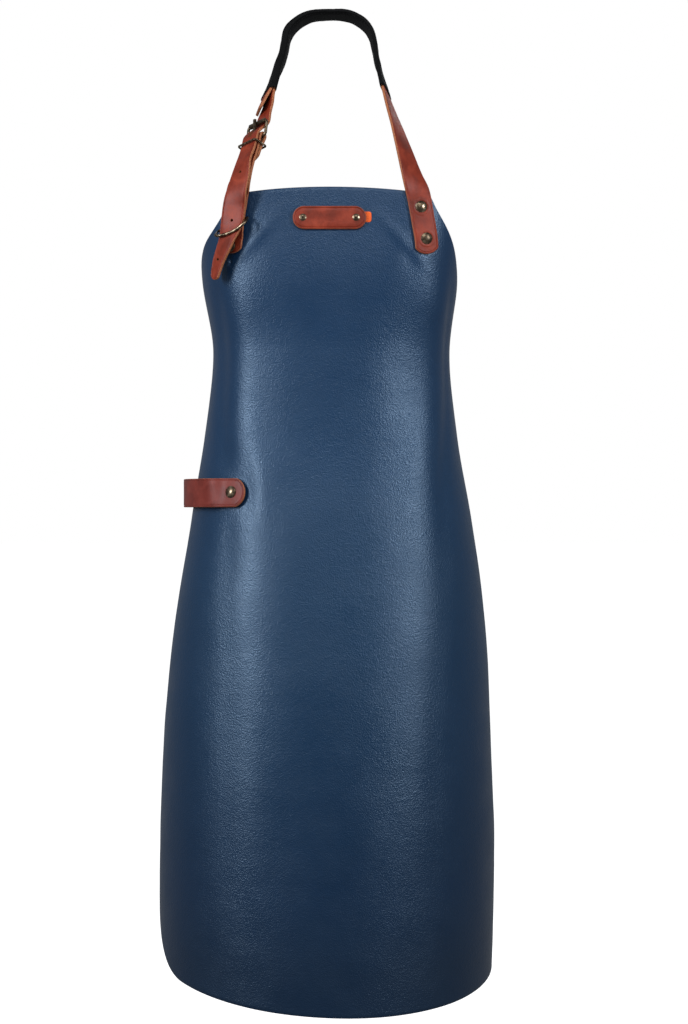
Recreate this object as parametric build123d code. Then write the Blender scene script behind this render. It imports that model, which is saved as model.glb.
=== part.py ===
from build123d import *
import math
import os

# A leather work apron as it hangs on its wearer: a wrapped leather panel, a padded neck loop with a
# roller buckle, a towel loop with a press stud, and a buckled waist strap across the open back.
# The row frame is in millimetres with +Z up and the front of the apron towards -Y. Its origin is the neck
# rest, the middle of the underside of the neck sleeve's top, where a neck or a hook carries the apron.

# ---- Driving dimensions ----
BIB_TOP_Z = -192.5  # middle of the bib's top edge
HEM_Z = -1042.9  # front of the hem
HEM_TILT_Y = 0.26  # the hem's rise towards the back, per mm
HEM_TILT_X = -0.047  # the hem's rise towards the right, per mm
BODY_Y = 5.0  # the upright axis that the panel wraps round
LEATHER = 1.8  # panel thickness
STRAP = 3.0  # strap thickness
STRAP_WIDTH = 25.0
GAP = 0.3  # between leathers that lie on each other
ON_PANEL = GAP + STRAP / 2  # height of the middle of a strap that lies on the panel
TOP_SAG = 6.5  # the bib top's drop 100 mm to each side
HEM_CORNER = 80.0
STRAP_END = 16.0  # radius of a strap's rounded end
FIT = 0.05  # radial clearance round rivets and bars

# The body form that the panel follows, from the bib down:
# height, half width, half depth, middle in X, squareness of its left side, squareness of its right side
FORM = [
    (-170.0, 137.0, 98.0, 0.0, 3.3, 4.8),
    (-235.0, 137.5, 102.0, 0.0, 3.2, 4.6),
    (-285.0, 136.0, 104.0, 0.0, 2.9, 3.6),
    (-360.0, 126.5, 101.0, 1.8, 2.5, 2.6),
    (-450.0, 135.5, 104.0, 0.8, 2.35, 2.35),
    (-540.0, 150.5, 114.0, 1.5, 2.25, 2.25),
    (-650.0, 166.0, 128.0, 0.0, 2.15, 2.15),
    (-760.0, 174.5, 139.0, -2.8, 2.1, 2.1),
    (-900.0, 178.8, 148.0, -3.4, 2.05, 2.05),
    (-1075.0, 176.5, 151.0, -5.0, 2.05, 2.05),
]

# The panel's side edges: height, arc length from the front to the left edge, and to the right edge
EDGES = [
    (-172.0, 78.0, 74.0),
    (-186.0, 96.0, 92.0),
    (-198.0, 107.0, 103.0),
    (-216.0, 113.0, 113.0),
    (-234.0, 129.0, 126.0),
    (-252.0, 156.0, 140.0),
    (-275.0, 188.0, 158.0),
    (-310.0, 218.0, 190.0),
    (-355.0, 242.0, 226.0),
    (-410.0, 265.0, 258.0),
    (-480.0, 284.0, 284.0),
    (-560.0, 290.0, 303.0),
    (-660.0, 284.0, 318.0),
    (-780.0, 268.0, 331.0),
    (-910.0, 254.0, 342.0),
    (-1075.0, 250.0, 350.0),
]
PANEL_HEIGHTS = [-172, -186, -198, -216, -234, -252, -275, -305, -340, -380, -425, -475, -530, -590, -650, -710]
PANEL_HEIGHTS += [-770, -830, -890, -950, -1010, -1070]

RIVET_CAP_R = 6.0
RIVET_CAP_H = 2.4
RIVET_POST_R = 1.7

# Roller buckles. Their local axes run along the strap, across it and outward from it
BUCKLE_LENGTH = 17.0
BUCKLE_RAKE = 3.5  # height of the roller's bar above the hinge bar
BUCKLE_HALF_WIDTH = 15.5
BUCKLE_WIRE_R = 1.6
ROLLER_R = 2.7
ROLLER_LENGTH = 25.0
FOLD_R = 1.75  # inside radius of the strap's fold round the hinge bar
KEEPER_WIRE_R = 1.1
KEEPER_AT = -11.0

NECK_HINGE = Vector(-76.5, -72.0, -140.0)
NECK_ALONG = Vector(0.241, 0.417, 0.877).normalized()
NECK_OUT = Vector(-0.7365, -0.509, 0.445)

TOWEL_Z = -509.0
TOWEL_WIDTH = 30.0
TOWEL_HINGE_S = -242.0  # the towel loop's hinge line, as an arc length
TOWEL_HINGE_LIFT = 5.0
SNAP_X = -101.5

SPLICE_FROM = 11  # the adjusting strap begins at this station of the neck loop's crown

WAIST_Z = -440.0
WAIST_HINGE = Vector(-8.0, 111.0, WAIST_Z)

LABEL_Z = -225.0
LABEL_LENGTH = 76.0
LABEL_HEIGHT = 24.0
LABEL_THICK = 2.4
LABEL_LIFT = 0.9
LABEL_RIVET_X = 27.5


# ---- Curves through stations ----
def smooth_row(stations, x):
    """The values beside x in a list of (x, value, ...) rows, smoothly interpolated."""
    rows = sorted(stations)
    x = min(max(x, rows[0][0]), rows[-1][0])
    i = max(k for k in range(len(rows) - 1) if rows[k][0] <= x)
    width = rows[i + 1][0] - rows[i][0]
    t = (x - rows[i][0]) / width

    def slope(k, column):
        low, high = max(k - 1, 0), min(k + 1, len(rows) - 1)
        return (rows[high][column] - rows[low][column]) / (rows[high][0] - rows[low][0]) * width

    start, start_slope = 2 * t**3 - 3 * t**2 + 1, t**3 - 2 * t**2 + t
    end, end_slope = 3 * t**2 - 2 * t**3, t**3 - t**2
    return [
        start * rows[i][c] + start_slope * slope(i, c) + end * rows[i + 1][c] + end_slope * slope(i + 1, c)
        for c in range(1, len(rows[0]))
    ]


def rate(stations, column, i):
    """How fast a column changes at station i, per mm along the line of stations."""
    if i == 0 or i == len(stations) - 1:
        j = max(i - 1, 0)
        chord = (stations[j + 1][0] - stations[j][0]).length
        return (stations[j + 1][column] - stations[j][column]) * (1 / chord)
    before = (stations[i][0] - stations[i - 1][0]).length
    after = (stations[i + 1][0] - stations[i][0]).length
    arriving = (stations[i][column] - stations[i - 1][column]) * (after / before)
    leaving = (stations[i + 1][column] - stations[i][column]) * (before / after)
    return (arriving + leaving) * (1 / (before + after))


def through(stations, column, i, t):
    """One column of a list of stations, smoothly interpolated at share t of its piece i."""
    chord = (stations[i + 1][0] - stations[i][0]).length
    return (
        stations[i][column] * (2 * t**3 - 3 * t**2 + 1)
        + rate(stations, column, i) * (chord * (t**3 - 2 * t**2 + t))
        + stations[i + 1][column] * (3 * t**2 - 2 * t**3)
        + rate(stations, column, i + 1) * (chord * (t**3 - t**2))
    )


def strap_planes(stations):
    """Planes along a strap: x across it, z along it and y outward from its face, with its width and thickness.
    A station is a point, the direction across, a lift outward, a width and a thickness."""
    samples = []
    for i in range(len(stations) - 1):
        steps = max(1, min(7, round((stations[i + 1][0] - stations[i][0]).length / 3.5)))
        samples += [(i, k / steps) for k in range(steps)]
    samples.append((len(stations) - 2, 1.0))
    planes = []
    for i, t in samples:
        low, high = max(t - 0.02, 0), min(t + 0.02, 1)
        along = (through(stations, 0, i, high) - through(stations, 0, i, low)).normalized()
        across = through(stations, 1, i, t)
        across = (across - along * across.dot(along)).normalized()
        plane = Plane(origin=through(stations, 0, i, t), x_dir=across, z_dir=along)
        plane.origin = plane.origin + plane.y_dir * through(stations, 2, i, t)
        planes.append((plane, through(stations, 3, i, t), through(stations, 4, i, t)))
    return planes


def station(point, across, lift=0.0, width=STRAP_WIDTH, thick=STRAP):
    return (Vector(*point) if isinstance(point, tuple) else point, across, lift, width, thick)


def strap(stations, over=0.0):
    """A strap of rectangular section along its stations, reaching over them at each end."""
    rows = strap_planes(stations)
    rows[0][0].origin = rows[0][0].origin - rows[0][0].z_dir * over
    rows[-1][0].origin = rows[-1][0].origin + rows[-1][0].z_dir * over
    return Solid.make_loft([(plane * Rectangle(width, thick)).wire() for plane, width, thick in rows])


def turned(degrees, dip=0.0):
    """The direction across the neck loop: to the right when flat on the bib, and turning backward to 90 on top."""
    a, b = math.radians(degrees), math.radians(dip)
    return Vector(math.cos(a), math.sin(a) * math.cos(b), -math.sin(a) * math.sin(b))


# ---- The body form ----
def on_form(z, bearing, lift=0.0):
    """The form's point at a bearing (0 front, + to the right), raised outward by lift, and its outward normal."""
    half_width, half_depth, middle, square_left, square_right = smooth_row(FORM, z)
    sine, cosine = math.sin(math.radians(bearing)), math.cos(math.radians(bearing))
    power = square_right if sine >= 0 else square_left
    radius = (abs(sine / half_width) ** power + abs(cosine / half_depth) ** power) ** (-1 / power)
    x, y = radius * sine, -radius * cosine
    normal = Vector(
        math.copysign(abs(x / half_width) ** (power - 1) / half_width, x),
        math.copysign(abs(y / half_depth) ** (power - 1) / half_depth, y),
        0,
    ).normalized()
    return Vector(middle + x, BODY_Y + y, z) + normal * lift, normal


def bearing_at(z, s):
    """The bearing that lies an arc length s from the front, + to the right."""
    side, step, walked, bearing = math.copysign(1, s), 1.5, 0.0, 0.0
    here = on_form(z, 0)[0]
    while True:
        there = on_form(z, side * (bearing + step))[0]
        stride = (there - here).length
        if walked + stride >= abs(s):
            return side * (bearing + step * (abs(s) - walked) / stride)
        walked, bearing, here = walked + stride, bearing + step, there


def at_x(z, x, lift=0.0, back=False):
    """The bearing whose raised point of the form is at x, on the front or on the back."""
    low, high = (-90.0, 90.0) if not back else (270.0, 90.0)
    for _ in range(40):
        middle = (low + high) / 2
        low, high = (middle, high) if on_form(z, middle, lift)[0].X < x else (low, middle)
    return (low + high) / 2


def on_front(z, x, lift=ON_PANEL):
    return on_form(z, at_x(z, x, lift), lift)[0]


def on_back(z, x, lift=ON_PANEL):
    return on_form(z, at_x(z, x, lift, back=True), lift)[0]


def form_plane(z, bearing, lift=0.0):
    """A plane on the form: x to the right round it, z outward."""
    along = (on_form(z, bearing + 1)[0] - on_form(z, bearing - 1)[0]).normalized()
    upward = (on_form(z + 3, bearing)[0] - on_form(z - 3, bearing)[0]).normalized()
    return Plane(origin=on_form(z, bearing, lift)[0], x_dir=along, z_dir=along.cross(upward))


def round_form(z, bearing):
    """The level direction to the right round the form."""
    normal = on_form(z, bearing)[1]
    return Vector(-normal.Y, normal.X, 0)


def front_station(z, x, lift=ON_PANEL, turn=1, width=STRAP_WIDTH):
    """A strap's station on the front of the form; turn is 1 when it is wide to the right, -1 to the left."""
    return station(on_front(z, x, lift), round_form(z, at_x(z, x, lift)) * turn, 0.0, width)


# ---- Small shapes ----
def rod(plane, radius, low, high):
    """A round rod along the plane's z from low to high."""
    return plane * Pos(0, 0, (low + high) / 2) * Cylinder(radius, high - low)


def dome(plane, radius, height, base):
    """A shallow dome that stands on the plane's z = base."""
    crown = (radius**2 + height**2) / (2 * height)
    ball = Pos(0, 0, base + height - crown) * Sphere(crown)
    return plane * (ball & Pos(0, 0, base + height) * Box(4 * radius, 4 * radius, 2 * height))


def rivet(plane, stack, through_to=-LEATHER - 0.4):
    """A domed rivet: its cap stands on z = stack, and its back disc is below z = through_to."""
    body = rod(plane, RIVET_POST_R, through_to - 0.4, stack + 0.4)
    body += rod(plane, RIVET_CAP_R, stack, stack + 0.5)
    body += dome(plane, RIVET_CAP_R, RIVET_CAP_H - 0.5, stack + 0.5)
    return body + rod(plane, 5.0, through_to - 0.9, through_to)


def drilled(solid, planes, radius=RIVET_POST_R):
    for plane in planes:
        solid = solid - rod(plane, radius + FIT, -12, 12)
    return solid


def wire_loop(plane, width, height, corner, radius):
    """A closed loop of round wire: a rounded rectangle in the plane."""
    path = RectangleRounded(width, height, corner).wire()
    path = plane * path
    start = Plane(origin=path @ 0, z_dir=path % 0)
    return sweep(start * Circle(radius), path=path)


def round_tip(solid, plane, radius=STRAP_END):
    """Rounds a strap's end: the plane's origin is the middle of the end, and its y points off the end."""
    rise = radius - math.sqrt(radius**2 - (STRAP_WIDTH / 2 + 0.01) ** 2)
    off = Pos(0, 10 - rise, 0) * Box(60, 20, 14) - Pos(0, -radius, 0) * Cylinder(radius, 20)
    return solid - plane * off


def end_plane(stations, last=True):
    """The plane for round_tip at a strap's last or first station."""
    planes = strap_planes(stations)
    here = planes[-1 if last else 0][0]
    off = here.z_dir if last else here.z_dir * -1
    return Plane(origin=here.origin, x_dir=here.x_dir, z_dir=here.x_dir.cross(off))


def solid_of(shape):
    """The one solid of a shape."""
    return shape.solids().sort_by(SortBy.VOLUME)[-1]


# ---- The panel ----
def panel_section(z):
    left, right = smooth_row(EDGES, z)
    low, high = bearing_at(z, -left), bearing_at(z, right)
    bearings = [low + (high - low) * k / 28 for k in range(29)]
    outer = [on_form(z, b)[0] for b in bearings]
    inner = [on_form(z, b, -LEATHER)[0] for b in reversed(bearings)]
    sides = [Edge.make_line(outer[-1], inner[0]), Edge.make_line(inner[-1], outer[0])]
    return Wire([Edge.make_spline(outer), sides[0], Edge.make_spline(inner), sides[1]])


def hem_corner(side):
    """What the rounding takes off a corner of the hem: outside a circle that touches the hem and the edge."""
    radius, slope = HEM_CORNER, math.radians(14)
    bearing = bearing_at(-980, side * smooth_row(EDGES, -980)[0 if side < 0 else 1])
    edge = on_form(-980, bearing)[0]
    edge.Z = HEM_Z + HEM_TILT_Y * (edge.Y + 146) + HEM_TILT_X * edge.X
    facing = form_plane(-980, bearing - side * 13)
    plane = Plane(origin=edge, x_dir=facing.x_dir * side, z_dir=facing.z_dir * side)
    centre_y = radius / math.cos(slope) - radius * math.tan(slope)
    touch = (-radius + radius * math.sin(slope), centre_y - radius * math.cos(slope))
    corner = Polyline((0, centre_y), (20, centre_y), (20, -60), (touch[0], -60), touch, close=True)
    outside = extrude(make_face(corner), amount=60, both=True) - Pos(-radius, centre_y, 0) * Cylinder(radius, 200)
    return plane * outside


def apron_panel(holes):
    panel = Solid.make_loft([panel_section(z) for z in PANEL_HEIGHTS])
    slope = Vector(-HEM_TILT_X, -HEM_TILT_Y, 1)
    hem = Plane(origin=(0, -146, HEM_Z), z_dir=slope)
    panel = panel - hem * Pos(0, 0, -100) * Box(900, 900, 200)
    crown = (100**2 + TOP_SAG**2) / (2 * TOP_SAG)
    above = Pos(0, -60, BIB_TOP_Z) * Box(400, 200, 60)
    bow = Plane(origin=(0, -60, BIB_TOP_Z - crown), z_dir=(0, 1, 0)) * Cylinder(crown, 300)
    panel = panel - (above - bow)
    for side in (-1, 1):
        panel = panel - hem_corner(side)
    return solid_of(drilled(panel, holes))


# ---- Roller buckle ----
def buckle_plane(hinge, along, out):
    """A buckle's local plane: x along the strap, y across it, z outward."""
    return Plane(origin=hinge, x_dir=along, z_dir=out)


def buckle_frame(plane):
    rake = math.degrees(math.atan2(BUCKLE_RAKE, BUCKLE_LENGTH))
    flat = plane * Rot(0, -rake, 0)
    reach = math.hypot(BUCKLE_LENGTH, BUCKLE_RAKE)
    middle = flat * Pos(reach / 2, 0, 0)
    return wire_loop(Plane(middle), reach, 2 * BUCKLE_HALF_WIDTH, 3.5, BUCKLE_WIRE_R)


def across(plane, along, out):
    """The line across a buckle at a distance along it and a height out from it, as a plane with z across."""
    origin = plane.origin + plane.x_dir * along + plane.z_dir * out
    return Plane(origin=origin, x_dir=plane.x_dir, z_dir=plane.y_dir)


def buckle_roller(plane):
    line = across(plane, BUCKLE_LENGTH, BUCKLE_RAKE)
    half = ROLLER_LENGTH / 2
    return rod(line, ROLLER_R, -half, half) - rod(line, BUCKLE_WIRE_R + 0.06, -half - 1, half + 1)


def buckle_prong(plane):
    line = across(plane, 0, 0)
    climb = math.degrees(math.atan2(6.5, 19.5))
    tongue = Pos(0, 0, 2.2) * Rot(0, -climb, 0) * (Pos(10.2, 0, 0) * Box(20.4, 3, 2.2))
    prong = rod(line, 3.2, -1.5, 1.5) + plane * tongue
    return prong - rod(line, BUCKLE_WIRE_R + 0.08, -3, 3)


def tangent_point(reach, height, radius):
    """Where the line from a leg's corner touches the fold's circle round the bar."""
    lean = math.atan2(height, -reach) - math.acos(radius / math.hypot(reach, height))
    return radius * math.cos(lean), radius * math.sin(lean)


def strap_fold(plane, outer_leg, inner_leg, spread=15.0):
    """The strap's end folded round the hinge bar, with its slot for the prong."""
    near, far = 0.15, 0.15 + STRAP
    nx, ny = tangent_point(spread, near, FOLD_R)
    fx, fy = tangent_point(spread, far, FOLD_R + STRAP)
    edges = [
        Edge.make_line((-outer_leg, near), (-spread, near)),
        Edge.make_line((-spread, near), (nx, ny)),
        Edge.make_three_point_arc((nx, ny), (FOLD_R, 0), (nx, -ny)),
        Edge.make_line((nx, -ny), (-spread, -near)),
        Edge.make_line((-spread, -near), (-inner_leg, -near)),
        Edge.make_line((-inner_leg, -near), (-inner_leg, -far)),
        Edge.make_line((-inner_leg, -far), (-spread, -far)),
        Edge.make_line((-spread, -far), (fx, -fy)),
        Edge.make_three_point_arc((fx, -fy), (FOLD_R + STRAP, 0), (fx, fy)),
        Edge.make_line((fx, fy), (-spread, far)),
        Edge.make_line((-spread, far), (-outer_leg, far)),
        Edge.make_line((-outer_leg, far), (-outer_leg, near)),
    ]
    side = Plane(origin=plane.origin, x_dir=plane.x_dir, z_dir=plane.y_dir * -1)
    fold = extrude(side * Face(Wire(edges)), amount=STRAP_WIDTH / 2, both=True)
    slot = plane * Pos(-0.5, 0, 0) * Box(13, 5.2, 16)
    return fold - slot


def leg_stations(plane):
    """Where a strap runs into its fold, a hair slimmer so that its faces lie inside the fold's."""
    middle = plane.z_dir * (0.15 + STRAP / 2)
    points = [plane.origin + plane.x_dir * along + middle for along in (-34.0, -31.0)]
    return [station(point, plane.y_dir, 0.0, STRAP_WIDTH - 0.1, STRAP - 0.08) for point in points]


def keeper(plane):
    """A wire keeper round the strap and its tail."""
    low, high = -4.6 - KEEPER_WIRE_R, 8.5 + KEEPER_WIRE_R
    loop = across(plane, KEEPER_AT, 0)
    loop = Plane(origin=loop.origin + plane.z_dir * (low + high) / 2, x_dir=plane.y_dir, z_dir=plane.x_dir)
    return wire_loop(loop, 2 * (13.6 + KEEPER_WIRE_R), high - low, 2.4, KEEPER_WIRE_R)


def fold_rivet(plane):
    """A flat rivet through the two layers of a fold."""
    spot = Plane(origin=plane.origin - plane.x_dir * 22, x_dir=plane.x_dir, z_dir=plane.z_dir)
    low, high = -0.15 - STRAP, 0.15 + STRAP
    body = rod(spot, 1.5, low, high) + rod(spot, 4.0, high, high + 0.8)
    return spot, body + rod(spot, 4.0, low - 0.8, low)


# The tail's strap through a buckle: distance along and height out of its middle, from the roller's side
BUCKLE_RUN = [(43, -1.4), (30, -1.4), (17, -1.3), (12, 0.9), (8, 3.4), (4, 5.5), (0, 6.8), (-6, 6.5), (-11, 6.0)]
BUCKLE_RUN += [(-20, 5.9), (-32, 6.5)]


def run_stations(plane):
    return [
        station(plane.origin + plane.x_dir * along + plane.z_dir * out, plane.y_dir * -1)
        for along, out in BUCKLE_RUN
    ]


def prong_slot(solid, plane):
    return solid - plane * Pos(3.75, 0, 4) * Box(12.5, 5, 9)


# ---- Neck loop ----
def neck_rise():
    """The neck loop's stations from the right of the bib up to its top."""
    return [
        front_station(-262, 101.2, turn=-1),
        front_station(-246, 100.0, turn=-1),
        front_station(-230, 97.3, turn=-1),
        front_station(-213.5, 94.5, turn=-1),
        front_station(-200, 91.8, turn=-1),
        station((86.3, -91.5, -183), turned(30) * -1),
        station((77, -80, -150), turned(50, 8) * -1),
        station((70, -67, -125), turned(60, 16) * -1),
        station((64, -54, -105), turned(66, 24) * -1),
    ]


def neck_crown():
    """The part of the neck loop that the sleeve covers: point, turn, dip, lift of the neck strap, sleeve thickness."""
    return [
        ((59, -43, -87), 72, 28, 0.0, 5.8),
        ((53.4, -30, -64.5), 80, 26, 0.0, 5.8),
        ((49.5, -22, -48), 87, 22, 0.0, 5.8),
        ((47.5, -15, -34), 90, 18, 0.0, 5.8),
        ((44.5, -9.5, -21), 90, 14, 0.0, 5.8),
        ((37.5, -5, -9.5), 90, 10, 0.0, 5.8),
        ((24, -1.5, -0.2), 90, 8, 0.0, 5.8),
        ((0, 0, 2.9), 90, 6, 0.0, 5.8),
        ((-24, -1.5, -0.5), 90, 8, 0.2, 6.4),
        ((-38, -5, -10), 90, 10, 1.2, 8.0),
        ((-45.5, -9.5, -21), 90, 14, 1.75, 9.3),
        ((-48, -15, -34), 92, 18, 1.75, 9.3),
        ((-51, -22, -48), 95, 22, 1.75, 9.3),
        ((-56, -30, -62), 100, 26, 1.75, 9.3),
        ((-61, -41, -80), 108, 28, 1.75, 9.3),
        ((-64.5, -47, -90), 114, 26, 1.75, 9.3),
    ]


def neck_strap(plane, holes, splices):
    stations = neck_rise()
    stations += [station(point, turned(turn, dip) * -1, lift) for point, turn, dip, lift, _ in neck_crown()]
    stations.append(station((-70.6, -51.0, -99.5), turned(108, 20) * -1))
    stations.append(station((-75.2, -55.0, -110.0), turned(100, 14) * -1))
    body = round_tip(strap(stations), end_plane(stations, last=False))
    return solid_of(drilled(drilled(body, holes), splices, 2.0))


def neck_sleeve():
    """A padded tube round the strap; its wall is even and its ends are open."""
    outer, inner = [], []
    for point, turn, dip, _, thick in neck_crown():
        direction = turned(turn, dip) * -1
        outer.append(station(point, direction, 0.0, 35.0, thick))
        inner.append(station(point, direction, 0.0, 26.4, thick - 2.2))
    return solid_of(strap(outer) - strap(inner, over=0.5))


def tail_stations():
    """The adjusting strap below the buckle, out to its tip."""
    free = [(-182, -92.2, -94.5, 140), (-199, -96.2, -96.8, 147)]
    stations = [station((x, y, z), turned(turn, 4) * -1) for z, x, y, turn in free]
    stations.append(front_station(-214, -98.8, 10.0, turn=1))
    stations.append(front_station(-229, -100.8, 9.9, turn=1))
    stations.append(station(on_front(-248.5, -106.9, 12.4), turned(139) * -1, 0.0, 21.0))
    stations.append(station(on_front(-269, -115.0, 13.0), turned(131) * -1, 0.0, 17.5))
    stations.append(station(on_front(-288, -119.8, 15.0), turned(128) * -1, 0.0, 13.0))
    return stations


def splice_planes():
    crown = neck_crown()
    spots = []
    for k in (SPLICE_FROM + 1, SPLICE_FROM + 3):
        stations = [station(point, turned(turn, dip) * -1) for point, turn, dip, _, _ in crown]
        here = min((p for p, _, _ in strap_planes(stations)), key=lambda p: (p.origin - stations[k][0]).length)
        spots.append(Plane(origin=here.origin, x_dir=here.x_dir, z_dir=here.y_dir))
    return spots


def adjusting_strap(plane, splices):
    stations = []
    for point, turn, dip, lift, _ in neck_crown()[SPLICE_FROM:]:
        stations.append(station(point, turned(turn, dip) * -1, -lift))
    run = run_stations(plane)
    run[0] = station(run[0][0], turned(117, 14) * -1)
    run[1] = station(run[1][0], turned(122, 14) * -1)
    stations += run + tail_stations()
    body = prong_slot(strap(stations), plane)
    planes = [p for p, _, _ in strap_planes(stations)]
    for height in (-178, -228, -268):
        near = min(planes, key=lambda p: abs(p.origin.Z - height))
        body = body - rod(Plane(origin=near.origin, x_dir=near.x_dir, z_dir=near.y_dir), 1.5, -4, 4)
    tip = planes[-1]
    rounding = Plane(origin=tip.origin, x_dir=tip.x_dir, z_dir=tip.x_dir.cross(tip.z_dir))
    off = Pos(0, 4, 0) * Box(30, 18, 12) - Pos(0, -7, 0) * Cylinder(7, 20) - Pos(0, -8, 0) * Box(30, 6.2, 20)
    body = body - rounding * off
    return solid_of(drilled(body, splices, 2.0))


def buckle_strap(plane, holes):
    """The short strap that holds the buckle to the left of the bib, arched over the ring's wire."""
    rows = [(-260.5, -102.6, 0), (-252, -102, 0), (-245.5, -101.5, 0.2), (-238, -100.8, 3.0), (-230, -100, 3.3)]
    rows += [(-222, -99, 3.0), (-214, -97.9, 0.2), (-206, -96.7, 0), (-198, -95.5, 0)]
    stations = [front_station(z, x, ON_PANEL + arch, turn=-1) for z, x, arch in rows]
    stations.append(station((-91.0, -90.0, -184.5), turned(140)))
    stations += leg_stations(plane)
    body = strap(stations)
    body = round_tip(body, end_plane(stations, last=False))
    body = body + strap_fold(plane, 32.0, 30.0)
    spot, rivet_body = fold_rivet(plane)
    return solid_of(drilled(drilled(body, holes), [spot], 1.5)), rivet_body


def lower_ring():
    """A wire ring round the buckle strap and the tail; its rear wire lies under the buckle strap."""
    flat = form_plane(-230, at_x(-230, -99.4, 1.6), 1.6)
    skew, droop = math.radians(20), math.radians(30)
    length = flat.x_dir * math.cos(skew) + flat.y_dir * math.sin(skew)
    side = flat.z_dir.cross(length)
    depth = flat.z_dir * math.cos(droop) - side * math.sin(droop)
    middle = flat.origin + depth * 7.5
    return wire_loop(Plane(origin=middle, x_dir=length, z_dir=length.cross(depth)), 38, 15.0, 4.2, 1.2)


# ---- Label ----
def label_parts():
    bearing = at_x(LABEL_Z, 0)
    plane = form_plane(LABEL_Z, bearing, LABEL_LIFT)
    spots = [plane * Pos(x, 0, 0) for x in (-LABEL_RIVET_X, LABEL_RIVET_X)]
    spots = [Plane(spot) for spot in spots]
    plate = extrude(plane * SlotOverall(LABEL_LENGTH, LABEL_HEIGHT), amount=LABEL_THICK)
    plate = drilled(plate, spots, 1.8)
    eyelets = []
    for spot in spots:
        eyelet = rod(spot, 1.8, -LABEL_LIFT - LEATHER - 0.9, LABEL_THICK + 0.3)
        eyelet += dome(spot, 3.75, 1.0, LABEL_THICK)
        eyelet -= rod(spot, 1.0, 0.5, 6)
        eyelets.append(eyelet + rod(spot, 3.4, -LABEL_LIFT - LEATHER - 1.0, -LABEL_LIFT - LEATHER - 0.3))
    tab = plane * Pos(36.5, 1.0, -0.45) * Box(14, 11, 0.6)
    return solid_of(plate), eyelets, solid_of(tab), spots


# ---- Towel loop ----
def down_form(z, bearing):
    """The direction down the form."""
    return form_plane(z, bearing).y_dir * -1


def towel_hinge():
    return on_form(TOWEL_Z, bearing_at(TOWEL_Z, TOWEL_HINGE_S), TOWEL_HINGE_LIFT)[0]


def towel_station(x, y):
    return station((x, y + BODY_Y, TOWEL_Z), Vector(0, 0, -1), 0.0, TOWEL_WIDTH)


def towel_flap(snap):
    lift = 4.6
    down = down_form(TOWEL_Z, at_x(TOWEL_Z, SNAP_X, lift))
    front = [(-87.5, lift), (-94.5, lift), (SNAP_X, lift), (-108.5, lift + 0.4)]
    stations = [station(on_front(TOWEL_Z, x, h), down, 0.0, TOWEL_WIDTH) for x, h in front]
    stations += [towel_station(-123, -80), towel_station(-138, -62), towel_station(-149.5, -38)]
    stations += [towel_station(-154.5, -12), towel_station(-154, 10), towel_station(-150.5, 26)]
    hinge = towel_hinge()
    stations.append(station(hinge, Vector(0, 0, -1), 0.0, TOWEL_WIDTH))
    flap = strap(stations)
    tip = end_plane(stations, last=False)
    off = Pos(0, 5, 0) * Box(60, 30, 16) - Pos(0, -16, 0) * Cylinder(16, 20) - Pos(0, -30, 0) * Box(60, 40, 20)
    flap = flap - tip * off
    flap += Pos(*hinge) * Cylinder(STRAP / 2, TOWEL_WIDTH)
    return solid_of(drilled(flap, [snap], 1.5))


def towel_base(rivet_spot):
    """The loop's rear tab, riveted to the panel."""
    down = down_form(TOWEL_Z, bearing_at(TOWEL_Z, -262))
    stations = []
    for s, lift in ((-TOWEL_HINGE_S + 2.1, 4.8), (251, 2.6), (258, ON_PANEL), (265, ON_PANEL), (278, ON_PANEL)):
        stations.append(station(on_form(TOWEL_Z, bearing_at(TOWEL_Z, -s), lift)[0], down, 0.0, TOWEL_WIDTH))
    return solid_of(drilled(strap(stations), [rivet_spot]))


def snap_parts(spot):
    """The press stud: a stud on the panel, and a cap and socket on the flap."""
    stud = rod(spot, RIVET_POST_R, -LEATHER - 1.0, 1.0) + rod(spot, 5.0, 0.1, 1.0) + rod(spot, 2.1, 0.9, 1.85)
    stud += rod(spot, 5.0, -LEATHER - 1.3, -LEATHER - 0.4)
    socket = rod(spot, 5.5, 1.35, 2.7) - rod(spot, 3.6, 0, 2.25)
    cap = socket + rod(spot, 1.4, 2.6, 6.7) + rod(spot, 6.25, 6.45, 6.85) + dome(spot, 6.25, 2.1, 6.85)
    return solid_of(stud), solid_of(cap)


# ---- Waist strap ----
def waist_station(s, lift=ON_PANEL + 0.3, turn=-1, width=STRAP_WIDTH):
    bearing = bearing_at(WAIST_Z, s)
    return station(on_form(WAIST_Z, bearing, lift)[0], down_form(WAIST_Z, bearing) * -turn, 0.0, width)


def back_station(x, lift, turn, width=STRAP_WIDTH):
    return station(on_back(WAIST_Z, x, lift), Vector(0, 0, turn), 0.0, width)


def waist_left(plane, holes):
    stations = [waist_station(-s) for s in (226, 238, 250, 264, 280, 298)]
    stations.append(back_station(-72, 2.6, -1))
    stations.append(back_station(-56, 4.6, -1))
    stations += leg_stations(plane)
    body = round_tip(strap(stations), end_plane(stations, last=False))
    body = body + strap_fold(plane, 32.0, 30.0)
    spot, rivet_body = fold_rivet(plane)
    return solid_of(drilled(drilled(body, holes), [spot], 1.5)), rivet_body


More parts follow.
